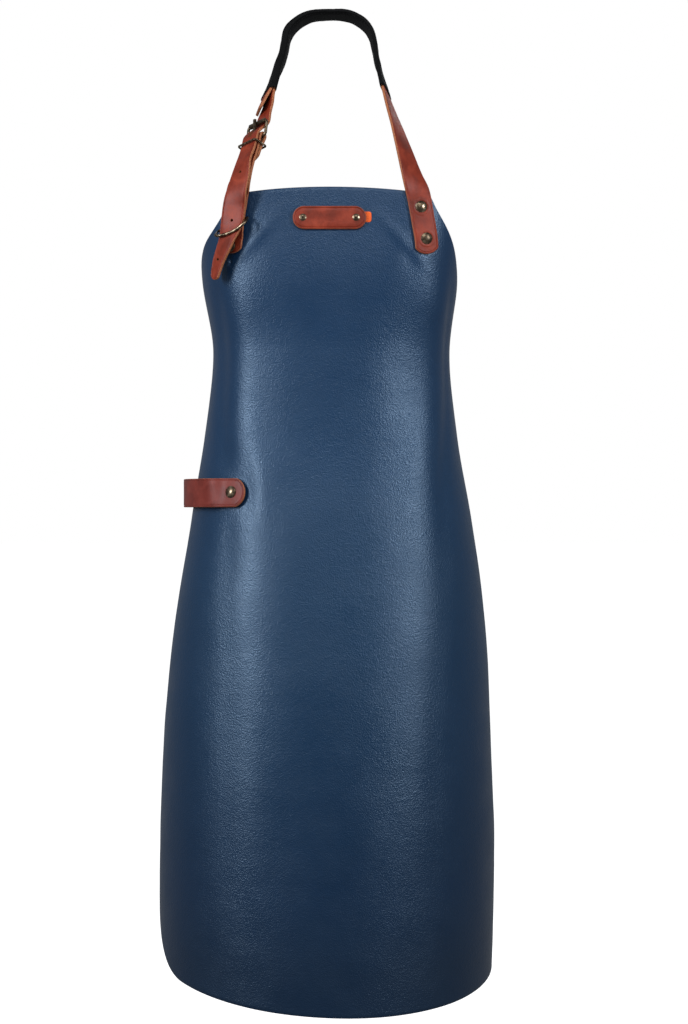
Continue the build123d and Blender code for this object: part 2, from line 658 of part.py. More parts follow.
def waist_right(plane, holes):
    stations = [waist_station(s, turn=1) for s in (226, 238, 250, 264, 280, 298, 318)]
    stations.append(back_station(52, ON_PANEL, 1))
    stations += run_stations(plane)[1:]
    stations.append(back_station(-56, 11.5, 1))
    stations.append(back_station(-78, 10.0, 1))
    stations.append(back_station(-98, 9.6, 1, 22.0))
    stations.append(back_station(-112, 9.6, 1, 13.0))
    body = round_tip(strap(stations), end_plane(stations, last=False))
    body = prong_slot(body, plane)
    for x in (-50, -82):
        bearing = at_x(WAIST_Z, x, 9.0, back=True)
        body = body - rod(form_plane(WAIST_Z, bearing, 10.0), 1.5, -7, 7)
    return solid_of(drilled(body, holes))


# ---- Everything ----
def front_spot(z, x, lift=0.0):
    return form_plane(z, at_x(z, x, lift))


def save(name, *solids):
    shape = solids[0] if len(solids) == 1 else Compound(label=name, children=list(solids))
    export_step(shape, f"parts/{name}.step")


def main():
    os.makedirs("parts", exist_ok=True)
    neck_buckle = buckle_plane(NECK_HINGE, NECK_ALONG, NECK_OUT)
    waist_buckle = buckle_plane(WAIST_HINGE, Vector(1, 0, 0), Vector(0, 1, 0))

    right_spots = [front_spot(-213.5, 94.5, ON_PANEL), front_spot(-246, 100.0, ON_PANEL)]
    left_spots = [front_spot(-205, -96.5, ON_PANEL), front_spot(-253, -102.1, ON_PANEL)]
    snap = front_spot(TOWEL_Z, SNAP_X, 4.5)
    towel_spot = form_plane(TOWEL_Z, bearing_at(TOWEL_Z, -266))
    waist_left_spots = [form_plane(WAIST_Z, bearing_at(WAIST_Z, -s)) for s in (238, 260)]
    waist_right_spots = [form_plane(WAIST_Z, bearing_at(WAIST_Z, s)) for s in (238, 260)]
    splices = splice_planes()

    plate, eyelets, tab, label_spots = label_parts()
    save("label_plate", plate)
    save("label_rivets", *[solid_of(e) for e in eyelets])
    save("woven_tab", tab)

    holes = right_spots + left_spots + [snap, towel_spot] + waist_left_spots + waist_right_spots
    panel = apron_panel(holes)
    save("apron_panel", solid_of(drilled(panel, label_spots, 1.8)))

    save("neck_strap", neck_strap(neck_buckle, right_spots, splices))
    save("neck_sleeve", neck_sleeve())
    save("adjusting_strap", adjusting_strap(neck_buckle, splices))
    save("splice_rivets", *[solid_of(rod(p, 2.0, -3.25, 3.25)) for p in splices])
    upper, upper_rivet = buckle_strap(neck_buckle, left_spots)
    save("buckle_strap", upper)
    save("fold_rivet", solid_of(upper_rivet))
    save("neck_buckle_frame", solid_of(buckle_frame(neck_buckle)))
    save("neck_buckle_roller", solid_of(buckle_roller(neck_buckle)))
    save("neck_buckle_prong", solid_of(buckle_prong(neck_buckle)))
    save("upper_keeper", solid_of(keeper(neck_buckle)))
    save("lower_ring", solid_of(lower_ring()))
    stack = GAP + STRAP + 0.12
    save("neck_strap_rivets", *[solid_of(rivet(p, stack)) for p in right_spots])
    save("buckle_strap_rivets", *[solid_of(rivet(p, stack + 0.2)) for p in left_spots])

    stud, cap = snap_parts(snap)
    save("snap_stud", stud)
    save("snap_cap", cap)
    save("towel_loop_flap", towel_flap(snap))
    save("towel_loop_base", towel_base(towel_spot))
    save("towel_loop_rivet", solid_of(rivet(towel_spot, stack)))

    lower, lower_rivet = waist_left(waist_buckle, waist_left_spots)
    save("waist_strap_left", lower)
    save("waist_fold_rivet", solid_of(lower_rivet))
    save("waist_strap_right", waist_right(waist_buckle, waist_right_spots))
    save("waist_rivets", *[solid_of(rivet(p, stack + 0.3)) for p in waist_left_spots + waist_right_spots])
    save("waist_buckle_frame", solid_of(buckle_frame(waist_buckle)))
    save("waist_buckle_roller", solid_of(buckle_roller(waist_buckle)))
    save("waist_buckle_prong", solid_of(buckle_prong(waist_buckle)))
    save("waist_keeper", solid_of(keeper(waist_buckle)))


main()
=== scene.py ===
"""A leather work apron as it hangs on its wearer, seen from the front.

Lengths are in millimetres until a mesh is made. The frame is the CAD model's: +Z up, the front towards -Y,
and the origin in the middle of the neck sleeve's top, on its underside.
"""

import bisect
import math

import bmesh
import bpy
import numpy as np
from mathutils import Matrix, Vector, noise


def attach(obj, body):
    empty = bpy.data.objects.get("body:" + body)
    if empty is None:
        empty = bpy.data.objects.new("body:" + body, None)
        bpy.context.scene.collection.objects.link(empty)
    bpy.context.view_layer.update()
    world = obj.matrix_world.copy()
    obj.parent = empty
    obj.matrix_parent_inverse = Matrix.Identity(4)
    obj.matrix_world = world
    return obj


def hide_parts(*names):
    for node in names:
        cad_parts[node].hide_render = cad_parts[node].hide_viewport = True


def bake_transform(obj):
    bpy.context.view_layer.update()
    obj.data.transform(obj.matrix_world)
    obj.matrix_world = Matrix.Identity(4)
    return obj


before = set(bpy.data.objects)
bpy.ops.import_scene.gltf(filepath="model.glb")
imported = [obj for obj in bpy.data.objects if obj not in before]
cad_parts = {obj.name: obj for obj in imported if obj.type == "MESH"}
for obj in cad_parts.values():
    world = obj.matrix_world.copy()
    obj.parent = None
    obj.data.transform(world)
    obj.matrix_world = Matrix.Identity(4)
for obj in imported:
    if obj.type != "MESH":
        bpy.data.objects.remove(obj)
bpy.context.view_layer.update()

MM = 0.001

# ---- The apron's dimensions, as in its CAD model ----
BIB_TOP_Z = -192.5
HEM_Z = -1042.9
HEM_TILT_Y = 0.26
HEM_TILT_X = -0.047
HEM_FRONT_Y = -146.0
BODY_Y = 5.0
LEATHER = 1.8
EDGE_ROUND = 0.4
STRAP = 3.0
STRAP_WIDTH = 25.0
ON_PANEL = 0.3 + STRAP / 2
TOP_CROWN = 772.5
HEM_CORNER = 80.0
# The body that the apron is wrapped round, at each height: half width, half depth, the middle's x, and how
# square its left and right sides are (2 is an ellipse)
FORM = [
    (-170.0, 137.0, 98.0, 0.0, 3.3, 4.8),
    (-235.0, 137.5, 102.0, 0.0, 3.2, 4.6),
    (-285.0, 136.0, 104.0, 0.0, 2.9, 3.6),
    (-360.0, 126.5, 101.0, 1.8, 2.5, 2.6),
    (-450.0, 135.5, 104.0, 0.8, 2.35, 2.35),
    (-540.0, 150.5, 114.0, 1.5, 2.25, 2.25),
    (-650.0, 166.0, 128.0, 0.0, 2.15, 2.15),
    (-760.0, 174.5, 139.0, -2.8, 2.1, 2.1),
    (-900.0, 178.8, 148.0, -3.4, 2.05, 2.05),
    (-1075.0, 176.5, 151.0, -5.0, 2.05, 2.05),
]
# How far round the form the hide reaches at each height, to the left and to the right
EDGES = [
    (-172.0, 78.0, 74.0),
    (-186.0, 96.0, 92.0),
    (-198.0, 107.0, 103.0),
    (-216.0, 113.0, 113.0),
    (-234.0, 129.0, 126.0),
    (-252.0, 156.0, 140.0),
    (-275.0, 188.0, 158.0),
    (-310.0, 218.0, 190.0),
    (-355.0, 242.0, 226.0),
    (-410.0, 265.0, 258.0),
    (-480.0, 284.0, 284.0),
    (-560.0, 290.0, 303.0),
    (-660.0, 284.0, 318.0),
    (-780.0, 268.0, 331.0),
    (-910.0, 254.0, 342.0),
    (-1075.0, 250.0, 350.0),
]
NECK_HINGE = Vector((-76.5, -72.0, -140.0))
NECK_ALONG = Vector((0.241, 0.417, 0.877)).normalized()
NECK_OUT = Vector((-0.7365, -0.509, 0.445))
TOWEL_Z = -509.0
TOWEL_WIDTH = 30.0
TOWEL_HINGE_S = -242.0
SNAP_X = -101.5
WAIST_Z = -440.0
WAIST_HINGE = Vector((-8.0, 111.0, WAIST_Z))
LABEL_Z = -225.0
# A strap's ends: the tip's radius and the radius at its corners
ROUND_TIP = (16.0, 4.0)
SQUARE_TIP = (60.0, 2.7)
TONGUE_TIP = (7.6, 2.7)


# ---- Curves through stations ----
def smooth_row(stations, x):
    """The values beside x in a list of (x, value, ...) rows, smoothly interpolated."""
    rows = sorted(stations)
    x = min(max(x, rows[0][0]), rows[-1][0])
    i = max(k for k in range(len(rows) - 1) if rows[k][0] <= x)
    width = rows[i + 1][0] - rows[i][0]
    t = (x - rows[i][0]) / width

    def slope(k, column):
        low, high = max(k - 1, 0), min(k + 1, len(rows) - 1)
        return (rows[high][column] - rows[low][column]) / (rows[high][0] - rows[low][0]) * width

    start, start_slope = 2 * t**3 - 3 * t**2 + 1, t**3 - 2 * t**2 + t
    end, end_slope = 3 * t**2 - 2 * t**3, t**3 - t**2
    return [
        start * rows[i][c] + start_slope * slope(i, c) + end * rows[i + 1][c] + end_slope * slope(i + 1, c)
        for c in range(1, len(rows[0]))
    ]


def rate(stations, column, i):
    """How fast a column changes at station i, per mm along the line of stations."""
    if i == 0 or i == len(stations) - 1:
        j = max(i - 1, 0)
        chord = (stations[j + 1][0] - stations[j][0]).length
        return (stations[j + 1][column] - stations[j][column]) * (1 / chord)
    before = (stations[i][0] - stations[i - 1][0]).length
    after = (stations[i + 1][0] - stations[i][0]).length
    arriving = (stations[i][column] - stations[i - 1][column]) * (after / before)
    leaving = (stations[i + 1][column] - stations[i][column]) * (before / after)
    return (arriving + leaving) * (1 / (before + after))


def through(stations, column, i, t):
    """One column of a list of stations, smoothly interpolated at share t of its piece i."""
    chord = (stations[i + 1][0] - stations[i][0]).length
    return (
        stations[i][column] * (2 * t**3 - 3 * t**2 + 1)
        + rate(stations, column, i) * (chord * (t**3 - 2 * t**2 + t))
        + stations[i + 1][column] * (3 * t**2 - 2 * t**3)
        + rate(stations, column, i + 1) * (chord * (t**3 - t**2))
    )


def station(point, across, lift=0.0, width=STRAP_WIDTH, thick=STRAP):
    return (Vector(point), Vector(across), lift, width, thick)


class Run:
    """A strap's line: its place, directions, width and thickness at any distance along it."""

    def __init__(self, stations, step=1.5):
        samples = []
        for i in range(len(stations) - 1):
            steps = max(1, round((stations[i + 1][0] - stations[i][0]).length / step))
            samples += [(i, k / steps) for k in range(steps)]
        samples.append((len(stations) - 2, 1.0))
        self.rows, walked, last = [], 0.0, None
        for i, t in samples:
            low, high = max(t - 0.02, 0), min(t + 0.02, 1)
            along = (through(stations, 0, i, high) - through(stations, 0, i, low)).normalized()
            across = through(stations, 1, i, t)
            across = (across - along * across.dot(along)).normalized()
            out = along.cross(across)
            point = through(stations, 0, i, t) + out * through(stations, 2, i, t)
            walked += (point - last).length if last is not None else 0.0
            last = point
            width, thick = (through(stations, column, i, t) for column in (3, 4))
            self.rows.append((walked, point, across, out, width, thick))
        self.length = walked
        self.at_mm = [row[0] for row in self.rows]

    def at(self, u):
        """Point, across, out, width and thickness at distance u, straight on past the ends."""
        k = min(max(bisect.bisect_right(self.at_mm, u) - 1, 0), len(self.rows) - 2)
        a, b = self.rows[k], self.rows[k + 1]
        t = (u - a[0]) / max(b[0] - a[0], 1e-9)
        return [a[c] + (b[c] - a[c]) * t for c in range(1, 6)]

    def place(self, u, v, h):
        point, across, out, _, _ = self.at(u)
        return point + across * v + out * h

    def nearest(self, miss):
        """The distance along the strap at which its point misses by least."""
        return min(self.rows, key=lambda row: miss(row[1]))[0]


# ---- The body form ----
HEIGHTS = np.arange(-1085.0, -165.0, 1.0)
FORM_AT = np.array([smooth_row(FORM, z) for z in HEIGHTS]).T
EDGES_AT = np.array([smooth_row(EDGES, z) for z in HEIGHTS]).T


def form_surface(z, bearing, lift=0.0):
    """The form's points at heights and bearings (0 front, + to the right), raised, and its normals."""
    at_z = [np.interp(z, HEIGHTS, row) for row in FORM_AT]
    half_width, half_depth, middle, square_left, square_right = at_z
    sine, cosine = np.sin(np.radians(bearing)), np.cos(np.radians(bearing))
    power = np.where(sine >= 0, square_right, square_left)
    radius = (np.abs(sine / half_width) ** power + np.abs(cosine / half_depth) ** power) ** (-1 / power)
    x, y = radius * sine, -radius * cosine
    nx = np.copysign(np.abs(x / half_width) ** (power - 1) / half_width, x)
    ny = np.copysign(np.abs(y / half_depth) ** (power - 1) / half_depth, y)
    size = np.hypot(nx, ny)
    nx, ny = nx / size, ny / size
    points = np.stack([middle + x + nx * lift, BODY_Y + y + ny * lift, z + 0.0 * x], -1)
    return points, np.stack([nx, ny, 0.0 * nx], -1)


def on_form(z, bearing, lift=0.0):
    """One raised point of the form and its outward normal."""
    point, normal = form_surface(z, bearing, lift)
    return Vector(point), Vector(normal)


ROW_STEP = 4
ARC_STEP = 2.0
ARC_S = np.arange(-400.0, 400.1, ARC_STEP)


def arc_bearings():
    """For rows of heights, the bearing at each arc length of ARC_S."""
    bearings = np.arange(-230.0, 230.1, 0.5)
    rows = []
    for z in HEIGHTS[::ROW_STEP]:
        line = form_surface(z, bearings)[0]
        walked = np.concatenate([[0.0], np.cumsum(np.linalg.norm(np.diff(line, axis=0), axis=1))])
        walked -= np.interp(0.0, bearings, walked)
        rows.append(np.interp(ARC_S, walked, bearings))
    return np.array(rows)


ARC_BEARINGS = arc_bearings()


def bearings_of(z, s):
    """The bearings that lie arc lengths s from the front, + to the right, at heights z."""
    row = np.clip((z - HEIGHTS[0]) / ROW_STEP, 0, len(ARC_BEARINGS) - 1.001)
    column = np.clip((s - ARC_S[0]) / ARC_STEP, 0, len(ARC_S) - 1.001)
    i, j = row.astype(int), column.astype(int)
    a, b = row - i, column - j
    low = ARC_BEARINGS[i, j] * (1 - b) + ARC_BEARINGS[i, j + 1] * b
    high = ARC_BEARINGS[i + 1, j] * (1 - b) + ARC_BEARINGS[i + 1, j + 1] * b
    return low * (1 - a) + high * a


def at_x(z, x, lift=0.0, back=False):
    """The bearing whose raised point of the form is at x, on the front or on the back."""
    low, high = (-90.0, 90.0) if not back else (270.0, 90.0)
    for _ in range(40):
        middle = (low + high) / 2
        low, high = (middle, high) if on_form(z, middle, lift)[0].x < x else (low, middle)
    return (low + high) / 2


def on_front(z, x, lift=ON_PANEL):
    """The point at x on the front, and likewise on the back."""
    return on_form(z, at_x(z, x, lift), lift)[0]


def on_back(z, x, lift=ON_PANEL):
    return on_form(z, at_x(z, x, lift, back=True), lift)[0]


def form_axes(z, bearing, lift=0.0):
    """A place on the form, and its directions to the right round it, up it and outward."""
    right = (on_form(z, bearing + 1)[0] - on_form(z, bearing - 1)[0]).normalized()
    upward = (on_form(z + 3, bearing)[0] - on_form(z - 3, bearing)[0]).normalized()
    out = right.cross(upward).normalized()
    return on_form(z, bearing, lift)[0], right, out.cross(right), out


def round_form(z, bearing):
    """The level direction round the form, to the right."""
    normal = on_form(z, bearing)[1]
    return Vector((-normal.y, normal.x, 0))


def turned(degrees, dip=0.0):
    """The direction across the neck loop: to the right on the bib, and turned backward, by 90 at the top."""
    a, b = math.radians(degrees), math.radians(dip)
    return Vector((math.cos(a), math.sin(a) * math.cos(b), -math.sin(a) * math.sin(b)))


def front_station(z, x, lift=ON_PANEL, turn=1, width=STRAP_WIDTH):
    return station(on_front(z, x, lift), round_form(z, at_x(z, x, lift)) * turn, 0.0, width)


# ---- Meshes ----
def lattice(rows, count, closed=False):
    """The faces of a tube of rows of points, each row going round in count steps."""
    faces = []
    for r in range(rows if closed else rows - 1):
        here, there = r * count, (r + 1) % rows * count
        for k in range(count):
            n = (k + 1) % count
            faces.append((here + k, here + n, there + n, there + k))
    return faces


replaced = set()


def finish_piece(piece, body, replaces=(), smooth_under=40):
    """Smooths a piece except over sharp edges, and names its body and the nodes it replaces."""
    piece.data.shade_smooth()
    piece.data.set_sharp_from_angle(angle=math.radians(smooth_under))
    if body:
        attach(piece, body)
    if replaces:
        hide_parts(*replaces)
        replaced.update(replaces)
    return piece


def piece_of(name, points, faces, materials, indices=None):
    """A mesh object from points in millimetres."""
    mesh = bpy.data.meshes.new(name)
    mesh.from_pydata([tuple(c * MM for c in p) for p in points], [], faces)
    for material in materials:
        mesh.materials.append(material)
    if indices is not None:
        mesh.polygons.foreach_set("material_index", indices)
    piece = bpy.data.objects.new(name, mesh)
    bpy.context.scene.collection.objects.link(piece)
    work = bmesh.new()
    work.from_mesh(mesh)
    bmesh.ops.remove_doubles(work, verts=work.verts, dist=2e-6)
    bmesh.ops.dissolve_degenerate(work, edges=work.edges, dist=1e-6)
    bmesh.ops.recalc_face_normals(work, faces=work.faces)
    work.to_mesh(mesh)
    work.free()
    return piece


def applied(piece):
    """Makes a piece's modifiers part of its mesh."""
    bpy.context.view_layer.update()
    result = bpy.data.meshes.new_from_object(piece.evaluated_get(bpy.context.evaluated_depsgraph_get()))
    piece.modifiers.clear()
    piece.data = result


def cut(piece, cutters):
    """Takes the cutters' shapes out of a piece; what they open shows the piece's second material."""
    for cutter in cutters:
        for polygon in cutter.data.polygons:
            polygon.material_index = 1
        tool = piece.modifiers.new("cut", "BOOLEAN")
        tool.operation, tool.solver, tool.object = "DIFFERENCE", "EXACT", cutter
    applied(piece)
    for cutter in cutters:
        bpy.data.objects.remove(cutter)
    return piece


def cutter_of(points, faces):
    """A closed shape in millimetres to cut with; its second material slot is what cut() gives the opening."""
    mesh = bpy.data.meshes.new("cutter")
    mesh.from_pydata([tuple(c * MM for c in p) for p in points], [], faces)
    mesh.materials.append(None)
    mesh.materials.append(None)
    cutter = bpy.data.objects.new("cutter", mesh)
    bpy.context.scene.collection.objects.link(cutter)
    return cutter


def round_cutter(centre, right, up, out, radius, low, high, count=24):
    """A rod to cut a round hole with."""
    points = []
    for h in (low, high):
        for k in range(count):
            a = 2 * math.pi * k / count
            points.append(centre + right * (radius * math.cos(a)) + up * (radius * math.sin(a)) + out * h)
    caps = [tuple(range(count - 1, -1, -1)), tuple(range(count, 2 * count))]
    return cutter_of(points, caps + lattice(2, count))


def box_cutter(centre, axes, sizes):
    first, second, third = (axis * (size / 2) for axis, size in zip(axes, sizes))
    points = [centre + first * x + second * y + third * z for x in (-1, 1) for y in (-1, 1) for z in (-1, 1)]
    faces = [(0, 1, 3, 2), (4, 6, 7, 5), (0, 4, 5, 1), (2, 3, 7, 6), (0, 2, 6, 4), (1, 5, 7, 3)]
    return cutter_of(points, faces)


def end_outline(half, radius, fillet):
    """Half of a rounded end: distance from the tip, half width there, and the inward direction. A tip whose
    radius is more than half the width is flatter, and has rounded corners."""

    def arc(centre, side, radius, start, end, steps):
        angles = [math.radians(start + (end - start) * k / steps) for k in range(steps + 1)]
        turns = [(math.cos(a), math.sin(a)) for a in angles]
        return [(centre - radius * c, side + radius * s, c, -s) for c, s in turns]

    if radius <= half:
        return arc(half, 0.0, half, 0, 90, 18)
    side = half - fillet
    centre = radius - math.sqrt((radius - fillet) ** 2 - side**2)
    turn = math.degrees(math.asin(side / (radius - fillet)))
    return arc(radius, 0.0, radius, 0, turn, 14) + arc(centre, side, fillet, turn, 90, 8)[1:]


def edge_profile(thick, crease=0.3):
    """A strap's edge from its face to its back: distance in from the edge, height, and what shows beyond it
    (0 face, 1 cut edge, 2 back). The face has a pressed line near the edge, and the edge is rounded over."""
    top, low = thick / 2, -thick / 2
    return [
        (2.6, top, 0),
        (2.2, top - 0.25 * crease, 0),
        (1.9, top - crease, 0),
        (1.6, top - 0.25 * crease, 0),
        (1.25, top, 0),
        (0.75, top - 0.06, 0),
        (0.32, top - 0.3, 1),
        (0.08, top - 0.66, 1),
        (0.0, top - 0.25 * thick - 0.25, 1),
        (0.0, low + 0.25 * thick, 1),
        (0.12, low + 0.3, 1),
        (0.5, low + 0.05, 2),
        (2.6, low, 2),
    ]


def press(u, v, rivets):
    """How the face rises in a soft ring round each rivet's cap, and fades out from it."""
    rise = 0.0
    for at in rivets:
        r = math.hypot(u - at, v)
        rise += 0.42 * math.exp(-(((r - 7.6) / 1.3) ** 2)) + 0.1 * math.exp(-(((r - 10.5) / 2.5) ** 2))
    return rise


def strap_piece(
    name, run, materials, tips=(ROUND_TIP, ROUND_TIP), crease=0.3, step=2.2, wander=0.12, rivets=()
):
    """A leather strap along a run: rounded ends, edges rounded over, and a line pressed along them."""
    first, last = end_outline(run.at(0)[3] / 2, *tips[0]), end_outline(run.at(run.length)[3] / 2, *tips[1])
    low, high = first[-1][0], run.length - last[-1][0]
    fine_step, fine_steps = 0.8, 18
    fine = [at + fine_step * k for at in rivets for k in range(-fine_steps, fine_steps + 1)]
    fine = [u for u in fine if low + 0.3 < u < high - 0.3]
    steps = max(2, round((high - low) / step))
    coarse = [low + (high - low) * k / steps for k in range(1, steps)]
    coarse = [u for u in coarse if all(abs(u - at) > fine_step * (fine_steps + 1) for at in rivets)]
    rows = first + [(u, run.at(u)[3] / 2, 0.0, -1.0) for u in sorted(coarse + fine)]
    rows += [(run.length - u, v, -nu, nv) for u, v, nu, nv in reversed(last)]
    points, columns = [], 24 if rivets else 6
    for u, v, nu, nv in rows:
        thick = run.at(u)[4]
        right = [(u + nu * g, max(v + nv * g, 0.0), h) for g, h, _ in edge_profile(thick, crease)]
        face, back = right[0], right[-1]
        across = [2 * k / columns - 1 for k in range(1, columns)]
        outline = right + [(back[0], -back[1] * share, -thick / 2) for share in across]
        outline += [(a, -b, h) for a, b, h in reversed(right)]
        outline += [(face[0], face[1] * share, thick / 2) for share in across]
        for a, b, h in outline:
            spot = run.place(a, b, h + (press(a, b, rivets) if h > 0.4 * thick else 0.0))
            points.append(spot + run.at(a)[2] * (wander * noise.noise(spot * 0.035)))
    wall = [row[2] for row in edge_profile(STRAP)][:-1]
    marks = wall + [2] * columns + wall[::-1] + [0] * columns
    faces = lattice(len(rows), len(points) // len(rows))
    return piece_of(name, points, faces, materials, marks * (len(rows) - 1))


# ---- Materials ----
def srgb(red, green, blue):
    """A colour given as 0 to 255 screen values, as linear light."""
    def linear(c):
        c /= 255
        return c / 12.92 if c <= 0.04045 else ((c + 0.055) / 1.055) ** 2.4

    return (linear(red), linear(green), linear(blue), 1.0)


class Finish:
    """A procedural material under construction. Textures lie in the object's own space, in metres."""

    def __init__(self, name, roughness=0.5, metallic=0.0, specular=0.5, sheen=0.0):
        self.material = bpy.data.materials.new(name)
        self.material.use_nodes = True
        self.tree = self.material.node_tree
        self.shader = self.tree.nodes["Principled BSDF"]
        self.fill(self.shader, {"Roughness": roughness, "Metallic": metallic, "Specular IOR Level": specular})
        self.fill(self.shader, {"Sheen Weight": sheen, "Sheen Roughness": 0.4})
        self.place = self.node("ShaderNodeTexCoord").outputs["Object"]
        self.normal = None

    def fill(self, node, inputs):
        """Gives a node's inputs their values, or links them to other nodes' outputs."""
        for key, value in inputs.items():
            if isinstance(value, bpy.types.NodeSocket):
                self.tree.links.new(value, node.inputs[key])
            elif value is not None:
                node.inputs[key].default_value = value

    def node(self, kind, inputs=None, **settings):
        made = self.tree.nodes.new(kind)
        for key, value in settings.items():
            setattr(made, key, value)
        self.fill(made, inputs or {})
        return made

    def stretched(self, scale):
        """The place, scaled along each axis."""
        return self.node("ShaderNodeMapping", {"Vector": self.place, "Scale": scale}).outputs["Vector"]

    def clouds(self, scale, detail=3.0, rough=0.55, where=None, distortion=0.0):
        inputs = {"Vector": where or self.place, "Scale": scale, "Detail": detail}
        inputs |= {"Roughness": rough, "Distortion": distortion}
        return self.node("ShaderNodeTexNoise", inputs).outputs["Fac"]

    def cells(self, scale, smooth):
        inputs = {"Vector": self.place, "Scale": scale, "Smoothness": smooth}
        return self.node("ShaderNodeTexVoronoi", inputs, feature="SMOOTH_F1").outputs["Distance"]

    def axes(self):
        """The place's X, Y and Z, one by one."""
        return self.node("ShaderNodeSeparateXYZ", {0: self.place}).outputs

    def ramp(self, source, *stops):
        """Colours or greys over a value; a stop is (position, colour or grey)."""
        made = self.node("ShaderNodeValToRGB", {"Fac": source})
        elements = made.color_ramp.elements
        while len(elements) < len(stops):
            elements.new(0.5)
        for element, (position, colour) in zip(elements, stops):
            element.position = position
            element.color = colour if isinstance(colour, tuple) else (colour, colour, colour, 1.0)
        return made.outputs["Color"]

    def number(self, operation, a, b=0.0, c=0.0):
        return self.node("ShaderNodeMath", {0: a, 1: b, 2: c}, operation=operation).outputs[0]

    def mixed(self, share, a, b, mode="MIX"):
        return self.node("ShaderNodeMix", {0: share, 6: a, 7: b}, data_type="RGBA", blend_type=mode).outputs[2]

    def bump(self, height, distance, strength=1.0):
        inputs = {"Height": height, "Distance": distance, "Strength": strength, "Normal": self.normal}
        self.normal = self.node("ShaderNodeBump", inputs).outputs["Normal"]
        return self

    def done(self, colour, roughness=None):
        self.fill(self.shader, {"Base Color": colour, "Roughness": roughness, "Normal": self.normal})
        return self.material


def blue_leather():
    """Smooth dyed cowhide: a fine pebble grain, faint mottling, and painted shade that changes it from chest
    to hem.
    """
    f = Finish("blue_leather", specular=0.62)
    f.fill(f.shader, {"Specular Tint": (0.60, 0.80, 1.0, 1.0)})
    # Painted shade: the colour changes with height, lightest about the waist and darkest at the hem, where
    # less light falls.
    painted_shade_by_height = f.number("MULTIPLY_ADD", f.axes()["Z"], -1.0, 0.0)
    base = f.ramp(
        painted_shade_by_height,
        (0.19, srgb(11, 39, 68)),
        (0.45, srgb(14, 44, 73)),
        (0.62, srgb(9, 40, 67)),
        (0.76, srgb(2, 34, 61)),
        (0.92, srgb(0, 27, 53)),
        (1.0, srgb(0, 22, 45)),
    )
    mottle = f.ramp(f.clouds(9.0, 4.0), (0.3, 0.42), (0.7, 0.58))
    base = f.mixed(0.22, base, mottle, "OVERLAY")
    flecks = f.ramp(f.clouds(160.0, 2.0), (0.3, 0.44), (0.75, 0.56))
    base = f.mixed(0.35, base, flecks, "OVERLAY")
    grain = f.number("MULTIPLY_ADD", f.clouds(300.0, 4.0), 0.9, f.cells(820.0, 0.6))
    creases = f.clouds(42.0, 3.0, where=f.stretched((1.0, 1.0, 1.8)), distortion=0.6)
    f.bump(creases, 0.0012, 0.16).bump(grain, 0.0005, 0.46)
    roughness = f.ramp(f.clouds(30.0, 3.0), (0.3, 0.33), (0.75, 0.42))
    return f.done(base, roughness)


def fibres(
    name, scale, dark, light, depth, detail=3.0, rough=0.55, strength=0.5, stretch=(1.0, 1.0, 1.0), **shader
):
    """Fine fibres or nap, from a dark to a light colour."""
    f = Finish(name, **shader)
    strands = f.clouds(scale, detail, rough, f.stretched(stretch))
    return f.bump(strands, depth, strength).done(f.ramp(strands, (0.3, srgb(*dark)), (0.7, srgb(*light))))


def blue_flesh():
    """The nap on the panel's inside."""
    f = Finish("blue_leather_inside", roughness=0.88, specular=0.2, sheen=0.25)
    nap = f.clouds(700.0, 5.0, rough=0.7)
    patches = f.clouds(22.0, 4.0)
    colour = f.ramp(patches, (0.3, srgb(48, 62, 88)), (0.7, srgb(66, 82, 110)))
    colour = f.mixed(0.4, colour, f.ramp(nap, (0.3, 0.35), (0.7, 0.62)), "OVERLAY")
    return f.bump(nap, 0.0005, 0.5).done(colour)


def brown_leather(name="brown_leather", dark=(84, 27, 13), middle=(119, 40, 21), light=(150, 60, 37)):
    """Waxed bridle leather: red brown, a little lighter where it is handled, with fine pores."""
    f = Finish(name, specular=0.26)
    patches = f.clouds(55.0, 4.0, distortion=0.4)
    colour = f.ramp(patches, (0.25, srgb(*dark)), (0.5, srgb(*middle)), (0.78, srgb(*light)))
    streaks = f.clouds(420.0, 4.0, where=f.stretched((1.0, 1.0, 0.45)))
    colour = f.mixed(0.4, colour, f.ramp(streaks, (0.3, 0.4), (0.7, 0.6)), "OVERLAY")
    fine = f.number("MULTIPLY_ADD", streaks, 0.8, f.cells(1500.0, 0.5))
    f.bump(f.clouds(90.0, 3.0), 0.0006, 0.25).bump(fine, 0.00014, 0.4)
    roughness = f.ramp(patches, (0.3, 0.4), (0.75, 0.52))
    return f.done(colour, roughness)


def black_suede():
    f = Finish("black_suede", roughness=0.7, specular=0.12)
    nap = f.clouds(900.0, 5.0, rough=0.75)
    patches = f.clouds(60.0, 3.0)
    colour = f.ramp(patches, (0.3, srgb(2, 2, 2)), (0.75, srgb(8, 8, 9)))
    colour = f.mixed(0.4, colour, f.ramp(nap, (0.3, 0.35), (0.7, 0.62)), "OVERLAY")
    return f.bump(patches, 0.0012, 0.3).bump(nap, 0.0005, 0.55).done(colour)


def antique_brass():
    """Dark oxidised brass, rubbed brighter where hands and straps pass."""
    f = Finish("antique_brass", metallic=1.0)
    patina = f.clouds(240.0, 4.0, distortion=0.5)
    colour = f.ramp(patina, (0.28, srgb(54, 45, 36)), (0.5, srgb(98, 84, 68)), (0.78, srgb(196, 178, 148)))
    scratches = f.clouds(1500.0, 3.0, where=f.stretched((1.0, 0.35, 1.0)))
    f.bump(patina, 0.0003, 0.25).bump(scratches, 0.00008, 0.4)
    roughness = f.ramp(patina, (0.3, 0.42), (0.75, 0.26))
    return f.done(colour, roughness)


